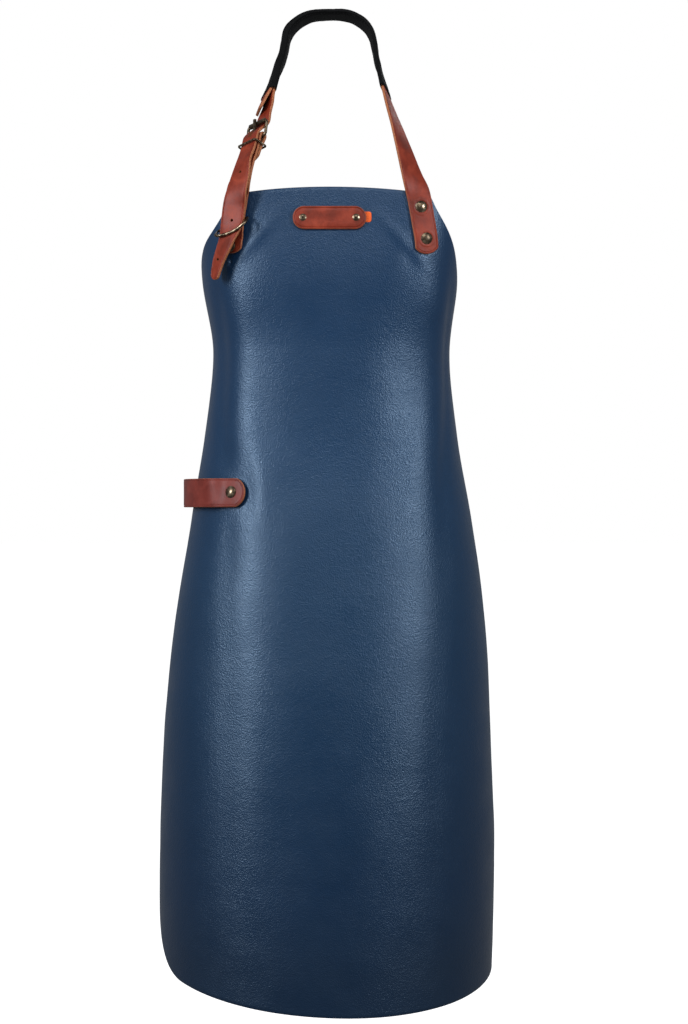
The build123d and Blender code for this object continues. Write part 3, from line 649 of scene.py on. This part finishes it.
def orange_ribbon():
    """A woven ribbon: fine ribs each way, lighter on their crowns and darker in the hollows as painted shade.
    """
    f = Finish("orange_ribbon", roughness=0.7, specular=0.25, sheen=0.3)
    place = f.axes()
    warp = f.number("SINE", f.number("MULTIPLY", place["X"], 9000.0))
    weft = f.number("SINE", f.number("MULTIPLY", place["Z"], 7000.0))
    shade = f.number("MULTIPLY_ADD", f.number("MULTIPLY", warp, weft), 0.5, 0.5)
    # Painted shade: the colour follows the ribs' height, darker in the hollows between them.
    colour = f.ramp(shade, (0.0, srgb(188, 66, 22)), (1.0, srgb(246, 112, 48)))
    fuzz = f.ramp(f.clouds(500.0, 3.0), (0.3, 0.44), (0.7, 0.58))
    colour = f.mixed(0.4, colour, fuzz, "OVERLAY")
    return f.bump(shade, 0.00015, 0.6).done(colour)


BLUE, BLUE_FLESH = blue_leather(), blue_flesh()
BLUE_EDGE = fibres("blue_leather_edge", 900.0, (20, 34, 56), (46, 66, 96), 0.0002, roughness=0.6)
BROWN = brown_leather()
BROWN_EDGE = fibres(
    "brown_leather_edge", 850.0, (116, 62, 36), (178, 112, 72), 0.0002, detail=4.0,
    roughness=0.62, specular=0.3
)
BROWN_FLESH = fibres(
    "brown_leather_inside", 650.0, (104, 62, 42), (142, 92, 64), 0.0004, detail=5.0, rough=0.7,
    roughness=0.85, specular=0.2, sheen=0.2
)
LOOP_BROWN = brown_leather("brown_leather_loop", (84, 26, 18), (108, 40, 31), (124, 52, 42))
THREAD = fibres(
    "black_thread", 2600.0, (8, 8, 8), (26, 26, 27), 0.0001, detail=2.0, strength=0.6,
    stretch=(1.0, 1.0, 0.3), roughness=0.6, specular=0.3
)
SUEDE, BRASS, RIBBON = black_suede(), antique_brass(), orange_ribbon()
STRAP_FINISH = [BROWN, BROWN_EDGE, BROWN_FLESH]
LOOP_FINISH = [LOOP_BROWN, BROWN_EDGE, BROWN_FLESH]


# ---- Camera ----
camera_data = bpy.data.cameras.new("camera")
camera_data.lens = 92.0
camera_data.sensor_width = 36.0
camera = bpy.data.objects.new("camera", camera_data)
camera.location = (0.015, -2.8, -0.529)
camera.rotation_euler = (math.radians(90), 0, 0)
bpy.context.scene.collection.objects.link(camera)
bpy.context.scene.camera = camera


# ---- The hide ----
def bell(x, middle, width):
    """1 at the middle, falling smoothly to 0 at about twice the width."""
    return np.exp(-(((x - middle) / width) ** 2))


def fade(x, low, high):
    """0 below low to 1 above high, smoothly."""
    t = np.clip((x - low) / (high - low), 0, 1)
    return t * t * (3 - 2 * t)


def clouds_at(z, s, size, seed):
    """Smooth hills and hollows from -1 to 1 over the flat hide."""
    flat = np.stack([s.ravel() / size, z.ravel() / size], -1)
    values = [noise.fractal(Vector((a, b, seed)), 1.0, 2.0, 2) for a, b in flat]
    return np.array(values).reshape(z.shape)


def fold(s, line, side, ridge, valley):
    """An upright fold: a broad ridge on a line's inner side and a narrow valley on its outer side, each given
    as its height, distance from the line and width."""
    (rise, inward, broad), (sink, outward, narrow) = ridge, valley
    return rise * bell(s, line - side * inward, broad) - sink * bell(s, line + side * outward, narrow)


def swell(z, s):
    """How far the hide stands off the form: soft folds, and the slack of a hanging hide."""
    calm_hem = 1 - fade(-z, 800, 1000)
    line = -108.0 + 2.0 * fade(-z, 300, 400) + 14.0 * fade(-z, 410, 540) + 6.0 * fade(-z, 600, 720)
    left = fold(s, line, -1, (3.2, 9.0, 24.0), (1.8, 19.0, 12.0))
    left *= fade(-z, 262, 330) * (1 - 0.8 * fade(-z, 440, 640)) * calm_hem
    line = 126.0 - 16.0 * fade(-z, 380, 520) - 10.0 * fade(-z, 600, 760)
    right = fold(s, line, 1, (3.4, 10.0, 24.0), (1.6, 16.0, 10.0))
    right *= fade(-z, 262, 320) * (1 - 0.85 * fade(-z, 430, 620)) * calm_hem
    lean = 0.9 * (z - LABEL_Z)
    corner = 1.1 * bell(s, 55 - lean, 9.0) * bell(z, -250, 26.0)
    corner += 1.2 * bell(s, lean - 58, 9.0) * bell(z, -250, 28.0)
    corner -= 1.0 * bell(s, 84, 9.0) * bell(z, -262, 16.0)
    slack = 1.2 * clouds_at(z, s, 140.0, 3.1) * fade(-z, 285, 380)
    creases = 0.22 * clouds_at(z, s * 0.7, 30.0, 8.7) * fade(-z, 500, 900)
    at_loop = bell(z, TOWEL_Z, 34.0) * fade(-s, 70, 90)
    at_waist = bell(z, WAIST_Z, 30.0) * fade(np.abs(s), 200, 220)
    return (left + right + corner + slack + creases) * (1 - np.clip(at_loop + at_waist, 0, 1))


def edge_of(z, c):
    """The arc length from the middle to the hide's side edge, on c's side."""
    left, right = (np.interp(z, HEIGHTS, row) for row in EDGES_AT)
    return np.where(c < 0, left, right)


def panel_place(c, t, lift):
    """The hide's point at share c from its middle to its side edge and share t from its top to its hem.
    The top and the hem depend on where on the form they lie, so each is found in a few rounds."""
    high = np.full_like(c, BIB_TOP_Z - 2.0)
    low = np.full_like(c, -1000.0)
    for _ in range(4):
        spot = form_surface(high, bearings_of(high, c * edge_of(high, c)))[0]
        high = BIB_TOP_Z - spot[..., 0] ** 2 / (2 * TOP_CROWN)
        edge = edge_of(low, c)
        spot = form_surface(low, bearings_of(low, c * edge))[0]
        low = HEM_Z + HEM_TILT_Y * (spot[..., 1] - HEM_FRONT_Y) + HEM_TILT_X * spot[..., 0]
        inside = np.clip((1 - np.abs(c)) * edge, 0, HEM_CORNER)
        low = low + HEM_CORNER - np.sqrt(np.maximum(HEM_CORNER**2 - (HEM_CORNER - inside) ** 2, 0.0))
    z = high + (low - high) * t
    s = c * edge_of(z, c)
    return form_surface(z, bearings_of(z, s), swell(z, s) + lift)[0]


def apron_panel(columns=170, rows=250):
    """The hide's face, its two rims and its back as four layers, in columns set closer at the sides."""
    x = np.linspace(-1, 1, columns)
    c, t = np.meshgrid(0.3 * x + 0.7 * (1.5 * x - 0.5 * x**3), np.linspace(0, 1, rows))
    inset_c, inset_t = c * (1 - 0.5 / 300), 0.0005 + t * (1 - 0.001)
    layers = [
        panel_place(inset_c, inset_t, 0.0),
        panel_place(c, t, -EDGE_ROUND),
        panel_place(c, t, -LEATHER + EDGE_ROUND),
        panel_place(inset_c, inset_t, -LEATHER),
    ]
    points = np.concatenate([layer.reshape(-1, 3) for layer in layers])
    size = columns * rows

    def grid(layer):
        first = layer * size
        corner = (first + np.arange(rows - 1)[:, None] * columns + np.arange(columns - 1)[None, :]).ravel()
        return [(int(k), int(k) + 1, int(k) + columns + 1, int(k) + columns) for k in corner]

    rim = list(range(columns)) + [r * columns + columns - 1 for r in range(1, rows)]
    rim += [(rows - 1) * columns + k for k in range(columns - 2, -1, -1)]
    rim += [r * columns for r in range(rows - 2, 0, -1)]
    faces = grid(0)
    outer = len(faces)
    faces += [tuple(reversed(face)) for face in grid(3)]
    inner = len(faces)
    for layer in range(3):
        for k, here in enumerate(rim):
            there = rim[(k + 1) % len(rim)]
            a, b = here + layer * size, there + layer * size
            faces.append((b, a, a + size, b + size))
    used = sorted({i for face in faces for i in face})
    new = {old: k for k, old in enumerate(used)}
    faces = [tuple(new[i] for i in face) for face in faces]
    marks = [0] * outer + [2] * (inner - outer) + [1] * (len(faces) - inner)
    return piece_of("apron_hide", points[used], faces, [BLUE, BLUE_EDGE, BLUE_FLESH], marks)


hide = finish_piece(apron_panel(), "apron", ["apron_panel"], 60)


# ---- Buckles ----
class Buckle:
    """A buckle's hinge bar, and its directions along the strap, across it and outward."""

    def __init__(self, hinge, along, out):
        self.origin = hinge
        self.along = along
        self.out = (out - along * out.dot(along)).normalized()
        self.across = self.out.cross(self.along)

    def spot(self, along, out):
        return self.origin + self.along * along + self.out * out

    def fold(self):
        """A strap's stations from 34 mm below the hinge bar, round it and back up behind itself."""
        path = [(-34, 1.65), (-24, 1.65), (-15, 1.72), (-8, 2.4), (-3, 3.12), (0.4, 3.22), (2.3, 2.3)]
        path.append((3.25, 0))
        path += [(a, -b) for a, b in reversed(path[1:-1])]
        path.append((-30, -1.65))
        return [station(self.spot(a, b), self.across) for a, b in path]

    def run(self):
        """The tail's stations past the roller and over the hinge bar."""
        path = [(43, -1.4), (30, -1.4), (17, -1.3), (12, 0.9), (8, 3.4), (4, 5.5), (0, 6.8), (-6, 6.5)]
        path += [(-11, 6.0), (-20, 5.9), (-32, 6.5)]
        return [station(self.spot(a, b), self.across * -1) for a, b in path]

    def slot_cutter(self, middle=-0.5, length=13.0, low=-8.0, high=8.0):
        """Cuts the slot that the prong passes through, by default in the fold round the hinge bar."""
        centre = self.spot(middle, (low + high) / 2)
        return box_cutter(centre, (self.along, self.across, self.out), (length, 5.2, high - low))

    def tail_slot_cutter(self):
        return self.slot_cutter(3.75, 12.5, -1.0, 9.5)


neck_buckle = Buckle(NECK_HINGE, NECK_ALONG, NECK_OUT)
waist_buckle = Buckle(WAIST_HINGE, Vector((1, 0, 0)), Vector((0, 1, 0)))


def punched(run, distances, radius=1.6):
    """Cutters for a strap's row of holes."""
    cutters = []
    for u in distances:
        point, across, out, _, _ = run.at(u)
        cutters.append(round_cutter(point, across, out.cross(across), out, radius, -5, 5))
    return cutters


# ---- Neck loop ----
# The right side of the neck loop, from its rivets on the bib up to the sleeve
ON_BIB = ((-262, 101.2), (-246, 100.0), (-230, 97.3), (-213.5, 94.5), (-200, 91.8))
NECK_RISE = [front_station(z, x, turn=-1) for z, x in ON_BIB]
NECK_RISE += [
    station((86.3, -91.5, -183), turned(30) * -1),
    station((77, -80, -150), turned(50, 8) * -1),
    station((70, -67, -125), turned(60, 16) * -1),
    station((64, -54, -105), turned(66, 24) * -1),
]
# The part of the neck loop under the sleeve: point, turn, dip, lift of the neck strap, sleeve thickness
NECK_CROWN = [
    ((59, -43, -87), 72, 28, 0.0, 5.8),
    ((53.4, -30, -64.5), 80, 26, 0.0, 5.8),
    ((49.5, -22, -48), 87, 22, 0.0, 5.8),
    ((47.5, -15, -34), 90, 18, 0.0, 5.8),
    ((44.5, -9.5, -21), 90, 14, 0.0, 5.8),
    ((37.5, -5, -9.5), 90, 10, 0.0, 5.8),
    ((24, -1.5, -0.2), 90, 8, 0.0, 5.8),
    ((0, 0, 2.9), 90, 6, 0.0, 5.8),
    ((-24, -1.5, -0.5), 90, 8, 0.2, 6.4),
    ((-38, -5, -10), 90, 10, 1.2, 8.0),
    ((-45.5, -9.5, -21), 90, 14, 1.75, 9.3),
    ((-48, -15, -34), 92, 18, 1.75, 9.3),
    ((-51, -22, -48), 95, 22, 1.75, 9.3),
    ((-56, -30, -62), 100, 26, 1.75, 9.3),
    ((-61, -41, -80), 108, 28, 1.75, 9.3),
    ((-64.5, -47, -90), 114, 26, 1.75, 9.3),
]
# The first of those that the adjusting strap runs along too, on the neck strap's inside
SPLICE_FROM = 11


def neck_strap():
    stations = list(NECK_RISE)
    stations += [station(point, turned(turn, dip) * -1, lift) for point, turn, dip, lift, _ in NECK_CROWN]
    stations.append(station((-70.6, -51.0, -99.5), turned(108, 20) * -1))
    stations.append(station((-75.2, -55.0, -110.0), turned(100, 14) * -1))
    run = Run(stations)
    rivets = [run.nearest(lambda p: abs(p.z - z) + abs(p.x - 97)) for z in (-213.5, -246.0)]
    return strap_piece("strap_neck", run, STRAP_FINISH, (ROUND_TIP, SQUARE_TIP), rivets=rivets)


def tail_stations():
    """The adjusting strap's free tail, which hangs in front of the hide and narrows to its tip."""
    free = [(-182, -92.2, -94.5, 140), (-199, -96.2, -96.8, 147)]
    stations = [station((x, y, z), turned(turn, 4) * -1) for z, x, y, turn in free]
    stations += [front_station(-214, -98.8, 10.0), front_station(-229, -100.8, 9.9)]
    tongue = [(-248.5, -106.9, 12.4, 139, 21.0), (-269, -115.0, 13.0, 131, 17.5)]
    tongue.append((-288, -119.8, 15.0, 128, 13.0))
    stations += [station(on_front(z, x, h), turned(turn) * -1, 0.0, width) for z, x, h, turn, width in tongue]
    return stations


def adjusting_strap():
    stations = []
    for point, turn, dip, lift, _ in NECK_CROWN[SPLICE_FROM:]:
        stations.append(station(point, turned(turn, dip) * -1, -lift))
    through_buckle = neck_buckle.run()
    for i, turn in enumerate((117, 122)):
        through_buckle[i] = station(through_buckle[i][0], turned(turn, 14) * -1)
    run = Run(stations + through_buckle + tail_stations())
    piece = strap_piece("strap_adjusting", run, STRAP_FINISH, (SQUARE_TIP, TONGUE_TIP))
    holes = [run.nearest(lambda p: abs(p.z - z)) for z in (-178, -228, -268)]
    return cut(piece, [neck_buckle.tail_slot_cutter()] + punched(run, holes))


def buckle_strap():
    rows = [(-260.5, -102.6, 0), (-252, -102, 0), (-245.5, -101.5, 0.2), (-238, -100.8, 3.0)]
    rows += [(-230, -100, 3.3), (-222, -99, 3.0), (-214, -97.9, 0.2), (-206, -96.7, 0), (-198, -95.5, 0)]
    stations = [front_station(z, x, ON_PANEL + arch, turn=-1) for z, x, arch in rows]
    stations.append(station((-91.0, -90.0, -184.5), turned(140)))
    stations += neck_buckle.fold()
    piece = strap_piece("strap_buckle", Run(stations), STRAP_FINISH, wander=0.05)
    return cut(piece, [neck_buckle.slot_cutter()])


finish_piece(neck_strap(), "apron", ["neck_strap"])
finish_piece(adjusting_strap(), "apron", ["adjusting_strap"])
finish_piece(buckle_strap(), "apron", ["buckle_strap"])


# ---- Neck sleeve ----
SLEEVE_HALF = 17.3
SLEEVE_SQUARE = 2 / 0.62
SLEEVE_POINTS = 56
SIDE_SEAM = 13.6
END_SEAM = 7.0
TURNED_IN = 9.0
STITCH_STEP = 3.6


def sleeve_section(thick):
    """The padded tube's outline round the strap: plump faces that narrow to two sewn edges."""
    points = []
    for k in range(SLEEVE_POINTS):
        a = 2 * math.pi * k / SLEEVE_POINTS
        v, h = (math.copysign(abs(c) ** (2 / SLEEVE_SQUARE), c) for c in (math.cos(a), math.sin(a)))
        points.append((v * SLEEVE_HALF, h * thick / 2))
    return points


def sleeve_height(v, thick):
    """How high the sleeve's face is, v from its middle line."""
    return (1 - (abs(v) / SLEEVE_HALF) ** SLEEVE_SQUARE) ** (1 / SLEEVE_SQUARE) * thick / 2


def neck_sleeve():
    """A tube of suede: its ends are turned in, and it creases a little where the loop bends."""
    run = Run([station(p, turned(turn, dip) * -1, 0.0, 35.0, thick) for p, turn, dip, _, thick in NECK_CROWN])
    end = [(TURNED_IN * (1 - k / 5), -1.1) for k in range(5)]
    end += [(0.5 * (1 - math.cos(a)), -0.605 * (1 + math.cos(a))) for a in (0.6, 1.4, 2.2)]
    rows = end + [(u, 0.0) for u in np.linspace(1.6, run.length - 1.6, 150)]
    rows += [(run.length - u, grow) for u, grow in reversed(end)]
    points = []
    for n, (u, end_grow) in enumerate(rows):
        thick = run.at(u)[4]
        hem = float(bell(u, END_SEAM, 0.7) + bell(u, run.length - END_SEAM, 0.7))
        for v, h in sleeve_section(thick):
            grow = end_grow
            if len(end) <= n < len(rows) - len(end):
                grow += 0.35 * noise.noise(Vector((u * 0.09, v * 0.05, 4.0 + h * 0.2)))
                grow += 0.18 * noise.noise(Vector((u * 0.35, v * 0.12, 9.0)))
                grow -= 0.45 * hem + 0.5 * math.exp(-(((abs(v) - SIDE_SEAM) / 0.6) ** 2))
            side = Vector((v / SLEEVE_HALF**2, h / (thick / 2) ** 2)).normalized()
            points.append(run.place(u, v + side.x * grow, h + side.y * grow))
    piece = piece_of("sleeve", points, lattice(len(rows), SLEEVE_POINTS), [SUEDE])
    wall = piece.modifiers.new("wall", "SOLIDIFY")
    wall.thickness, wall.offset = 0.0003, -1.0
    applied(piece)
    return piece, run


def stitches(name, places, length=2.6, radius=0.32):
    """A row of stitches: short arched threads that go into the cloth at both ends."""
    points, faces, sides, steps = [], [], 6, 6
    for centre, along, out in places:
        across = along.cross(out)
        first = len(points)
        for i in range(steps + 1):
            arch = math.sin(math.pi * i / steps)
            middle = centre + along * (length * (i / steps - 0.5)) + out * (radius * (1.1 * arch - 0.5))
            slim = radius * (0.45 + 0.55 * arch**0.5)
            for k in range(sides):
                a = 2 * math.pi * k / sides
                points.append(middle + across * (slim * math.cos(a)) + out * (slim * math.sin(a)))
        faces += [tuple(first + k for k in face) for face in lattice(steps + 1, sides)]
        faces.append(tuple(first + k for k in range(sides - 1, -1, -1)))
        faces.append(tuple(first + steps * sides + k for k in range(sides)))
    return piece_of(name, points, faces, [THREAD])


def sleeve_stitches(run):
    """Rows of stitches along both edges of the sleeve and across its ends, on its front and its back."""
    places = []
    for face in (1, -1):
        for edge in (-SIDE_SEAM, SIDE_SEAM):
            u = 4.0
            while u < run.length - 4.0:
                _, across, out, _, thick = run.at(u)
                h = sleeve_height(edge, thick) - 0.45
                places.append((run.place(u, edge, h * face), across.cross(out), out * face))
                u += STITCH_STEP
        for end in (END_SEAM, run.length - END_SEAM):
            _, across, out, _, thick = run.at(end)
            for k in range(-3, 4):
                h = sleeve_height(STITCH_STEP * k, thick) - 0.4
                places.append((run.place(end, STITCH_STEP * k, h * face), across, out * face))
    return stitches("sleeve_stitches", places)


sleeve, sleeve_run = neck_sleeve()
finish_piece(sleeve, "apron", ["neck_sleeve"], 60)
finish_piece(sleeve_stitches(sleeve_run), "apron", (), 60)


# ---- The wire ring at the bib ----
def ring():
    """A ring of stout wire: its rear lies flat under the strap, and its front bows down and outward."""
    half, deep, corner, wire, sides = 19.0, 7.5, 4.2, 1.18, 16
    skew, droop = math.radians(20), math.radians(30)
    origin, right, up, out = form_axes(-230, at_x(-230, -99.4, 1.6), 1.6)
    length = right * math.cos(skew) + up * math.sin(skew)
    side = out.cross(length)
    depth = out * math.cos(droop) - side * math.sin(droop)
    middle = origin + depth * deep
    outline = []
    for cx, cy, first in ((half, deep, 0), (-half, deep, 90), (-half, -deep, 180), (half, -deep, 270)):
        for k in range(9):
            a = math.radians(first + 90 * k / 8)
            x = cx - math.copysign(corner, cx) + corner * math.cos(a)
            outline.append((x, cy - math.copysign(corner, cy) + corner * math.sin(a)))
    path = []
    for n, (x, y) in enumerate(outline):
        nx, ny = outline[(n + 1) % len(outline)]
        pieces = max(1, round(math.hypot(nx - x, ny - y) / 1.5))
        path += [(x + (nx - x) * k / pieces, y + (ny - y) * k / pieces) for k in range(pieces)]
    centres, radii = [], []
    for x, y in path:
        front = float(fade(y, -3.0, deep))
        bow = front * max(0.0, 1 - (x / half) ** 2)
        centres.append(middle + length * x + depth * (y + 0.8 * bow) - side * (3.4 * bow))
        radii.append(wire + 0.42 * front)
    points = []
    for n, centre in enumerate(centres):
        along = (centres[(n + 1) % len(centres)] - centres[n - 1]).normalized()
        first = along.cross(Vector((0.3, 0.5, 0.8))).normalized()
        second = along.cross(first)
        for k in range(sides):
            a = 2 * math.pi * k / sides
            points.append(centre + (first * math.cos(a) + second * math.sin(a)) * radii[n])
    return piece_of("wire_ring", points, lattice(len(centres), sides, closed=True), [BRASS])


finish_piece(ring(), "lower_ring", ["lower_ring"], 60)


# ---- Label ----
def label():
    """The riveted plate with a pressed border line, and the end of a ribbon beside it."""
    thick, tip = 2.4, (12.0, 0)
    origin, right, up, out = form_axes(LABEL_Z, at_x(LABEL_Z, 0), 0.9 + thick / 2)
    run = Run([station(origin + right * x, up, 0.0, 24.0, thick) for x in (-38.0, -13.0, 13.0, 38.0)])
    plate = strap_piece("label", run, STRAP_FINISH, (tip, tip), crease=0.55, wander=0.05)
    holes = [round_cutter(origin + right * x, right, up, out, 1.8, -3, 3) for x in (-27.5, 27.5)]
    tab_at = origin + right * 36.0 + up * 1.0 - out * 1.65
    path = [(-6.5, 0.0), (0.0, 0.0), (5.0, 0.02), (7.5, 0.0)]
    tab = Run([station(tab_at + right * a + out * b, up, 0.0, 11.0, 0.6) for a, b in path], step=0.7)
    ribbon = strap_piece("woven_ribbon", tab, [RIBBON] * 3, ((30.0, 2.7), (30.0, 2.7)), 0.0, 0.7, 0.1)
    return cut(plate, holes), ribbon


plate, ribbon = label()
finish_piece(plate, "apron", ["label_plate"])
finish_piece(ribbon, "apron", ["woven_tab"])


# ---- Towel loop ----
def down_form(z, bearing):
    """The direction down the form."""
    return form_axes(z, bearing)[2] * -1


def towel_loop():
    """The tab round the hide's left side: its flap from snap to hinge, and its base, riveted behind."""
    lift = 4.6
    down = down_form(TOWEL_Z, at_x(TOWEL_Z, SNAP_X, lift))
    front = [(-87.5, lift), (-94.5, lift), (SNAP_X, lift), (-108.5, lift + 0.4)]
    stations = [station(on_front(TOWEL_Z, x, h), down, 0.0, TOWEL_WIDTH) for x, h in front]
    for x, y in ((-123, -80), (-138, -62), (-149.5, -38), (-154.5, -12), (-154, 10), (-150.5, 26)):
        stations.append(station((x, y + BODY_Y, TOWEL_Z), (0, 0, -1), 0.0, TOWEL_WIDTH))
    hinge = on_form(TOWEL_Z, bearings_of(TOWEL_Z, TOWEL_HINGE_S), 5.0)[0]
    stations.append(station(hinge, (0, 0, -1), 0.0, TOWEL_WIDTH))
    back = down_form(TOWEL_Z, bearings_of(TOWEL_Z, -262))
    for s, h in ((251, 2.6), (258, ON_PANEL), (265, ON_PANEL), (278, ON_PANEL)):
        stations.append(station(on_form(TOWEL_Z, bearings_of(TOWEL_Z, -s), h)[0], back, 0.0, TOWEL_WIDTH))
    piece = strap_piece("towel_loop", Run(stations), LOOP_FINISH, tips=(ROUND_TIP, (40.0, 4.0)))
    return piece, hinge


loop, loop_hinge = towel_loop()
finish_piece(loop, None, ["towel_loop_flap", "towel_loop_base"])
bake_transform(loop)


# ---- Waist strap ----
def waist_station(s, turn):
    bearing = bearings_of(WAIST_Z, s)
    return station(on_form(WAIST_Z, bearing, ON_PANEL + 0.3)[0], down_form(WAIST_Z, bearing) * -turn)


def back_station(x, lift, turn, width=STRAP_WIDTH):
    return station(on_back(WAIST_Z, x, lift), (0, 0, turn), 0.0, width)


def waist_left():
    stations = [waist_station(-s, -1) for s in (226, 238, 250, 264, 280, 298)]
    stations += [back_station(-72, 2.6, -1), back_station(-56, 4.6, -1)]
    stations += waist_buckle.fold()
    piece = strap_piece("strap_waist_left", Run(stations), STRAP_FINISH, wander=0.05)
    return cut(piece, [waist_buckle.slot_cutter()])


def waist_right():
    stations = [waist_station(s, 1) for s in (226, 238, 250, 264, 280, 298, 318)]
    stations.append(back_station(52, ON_PANEL, 1))
    stations += waist_buckle.run()[1:]
    stations += [back_station(-56, 11.5, 1), back_station(-78, 10.0, 1)]
    stations += [back_station(-98, 9.6, 1, 22.0), back_station(-112, 9.6, 1, 13.0)]
    run = Run(stations)
    piece = strap_piece("strap_waist_right", run, STRAP_FINISH, (ROUND_TIP, TONGUE_TIP), wander=0.05)
    holes = [run.nearest(lambda p: abs(p.x - x) + (1000 if p.y < 60 else 0)) for x in (-50, -82)]
    return cut(piece, [waist_buckle.tail_slot_cutter()] + punched(run, holes))


finish_piece(waist_left(), "apron", ["waist_strap_left"])
finish_piece(waist_right(), "apron", ["waist_strap_right"])


# ---- Hardware: the CAD nodes that no piece replaces, finished in antique brass ----
for name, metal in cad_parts.items():
    if name not in replaced:
        metal.data.materials.clear()
        metal.data.materials.append(BRASS)


# ---- Stage ----
def floor():
    """A pale floor, lit from within like a photographer's light table so that it stays even."""
    wide, down = 60000.0, -1300.0
    points = [(-wide, -wide, down), (wide, -wide, down), (wide, wide, down), (-wide, wide, down)]
    f = Finish("studio_floor", roughness=0.9, specular=0.1)
    f.fill(f.shader, {"Emission Color": (1.0, 1.0, 1.0, 1.0), "Emission Strength": 0.93})
    material = f.done(f.ramp(f.clouds(0.8, 1.0), (0.0, 0.50), (1.0, 0.52)))
    stage = piece_of("studio_floor", points, [(0, 1, 2, 3)], [material])
    stage.visible_glossy = False
    stage.visible_diffuse = False


def softbox(name, place, target, width, height, watts, colour=(1.0, 1.0, 1.0)):
    light = bpy.data.lights.new(name, "AREA")
    light.shape, light.size, light.size_y = "RECTANGLE", width, height
    light.energy, light.color = watts, colour
    lamp = bpy.data.objects.new(name, light)
    lamp.location = place
    lamp.rotation_euler = (Vector(target) - Vector(place)).to_track_quat("-Z", "Y").to_euler()
    bpy.context.scene.collection.objects.link(lamp)


def surround():
    """A white background to the camera, and a dim cool room to everything else."""
    world = bpy.data.worlds.new("studio")
    bpy.context.scene.world = world
    world.use_nodes = True
    nodes, links = world.node_tree.nodes, world.node_tree.links
    room, seen = nodes["Background"], nodes.new("ShaderNodeBackground")
    room.inputs["Color"].default_value = (0.94, 0.97, 1.0, 1.0)
    room.inputs["Strength"].default_value = 0.25
    seen.inputs["Color"].default_value = (1.0, 1.0, 1.0, 1.0)
    either = nodes.new("ShaderNodeMixShader")
    links.new(nodes.new("ShaderNodeLightPath").outputs["Is Camera Ray"], either.inputs[0])
    links.new(room.outputs[0], either.inputs[1])
    links.new(seen.outputs[0], either.inputs[2])
    links.new(either.outputs[0], nodes["World Output"].inputs["Surface"])


COOL = (0.89, 0.93, 1.0)
floor()
softbox("left_softbox", (-1.95, -1.6, 0.3), (0.0, 0.0, -0.35), 0.55, 1.3, 55, COOL)
softbox("right_softbox", (1.8, -1.75, 0.3), (0.0, 0.0, -0.35), 0.5, 1.3, 40, COOL)
softbox("front_softbox", (0.0, -3.4, 1.9), (0.0, 0.0, -0.4), 2.0, 1.0, 44)
softbox("back_softbox", (0.6, 3.0, 1.6), (0.0, 0.0, -0.5), 2.0, 1.2, 26)
surround()
bpy.context.scene.view_settings.view_transform = "Standard"
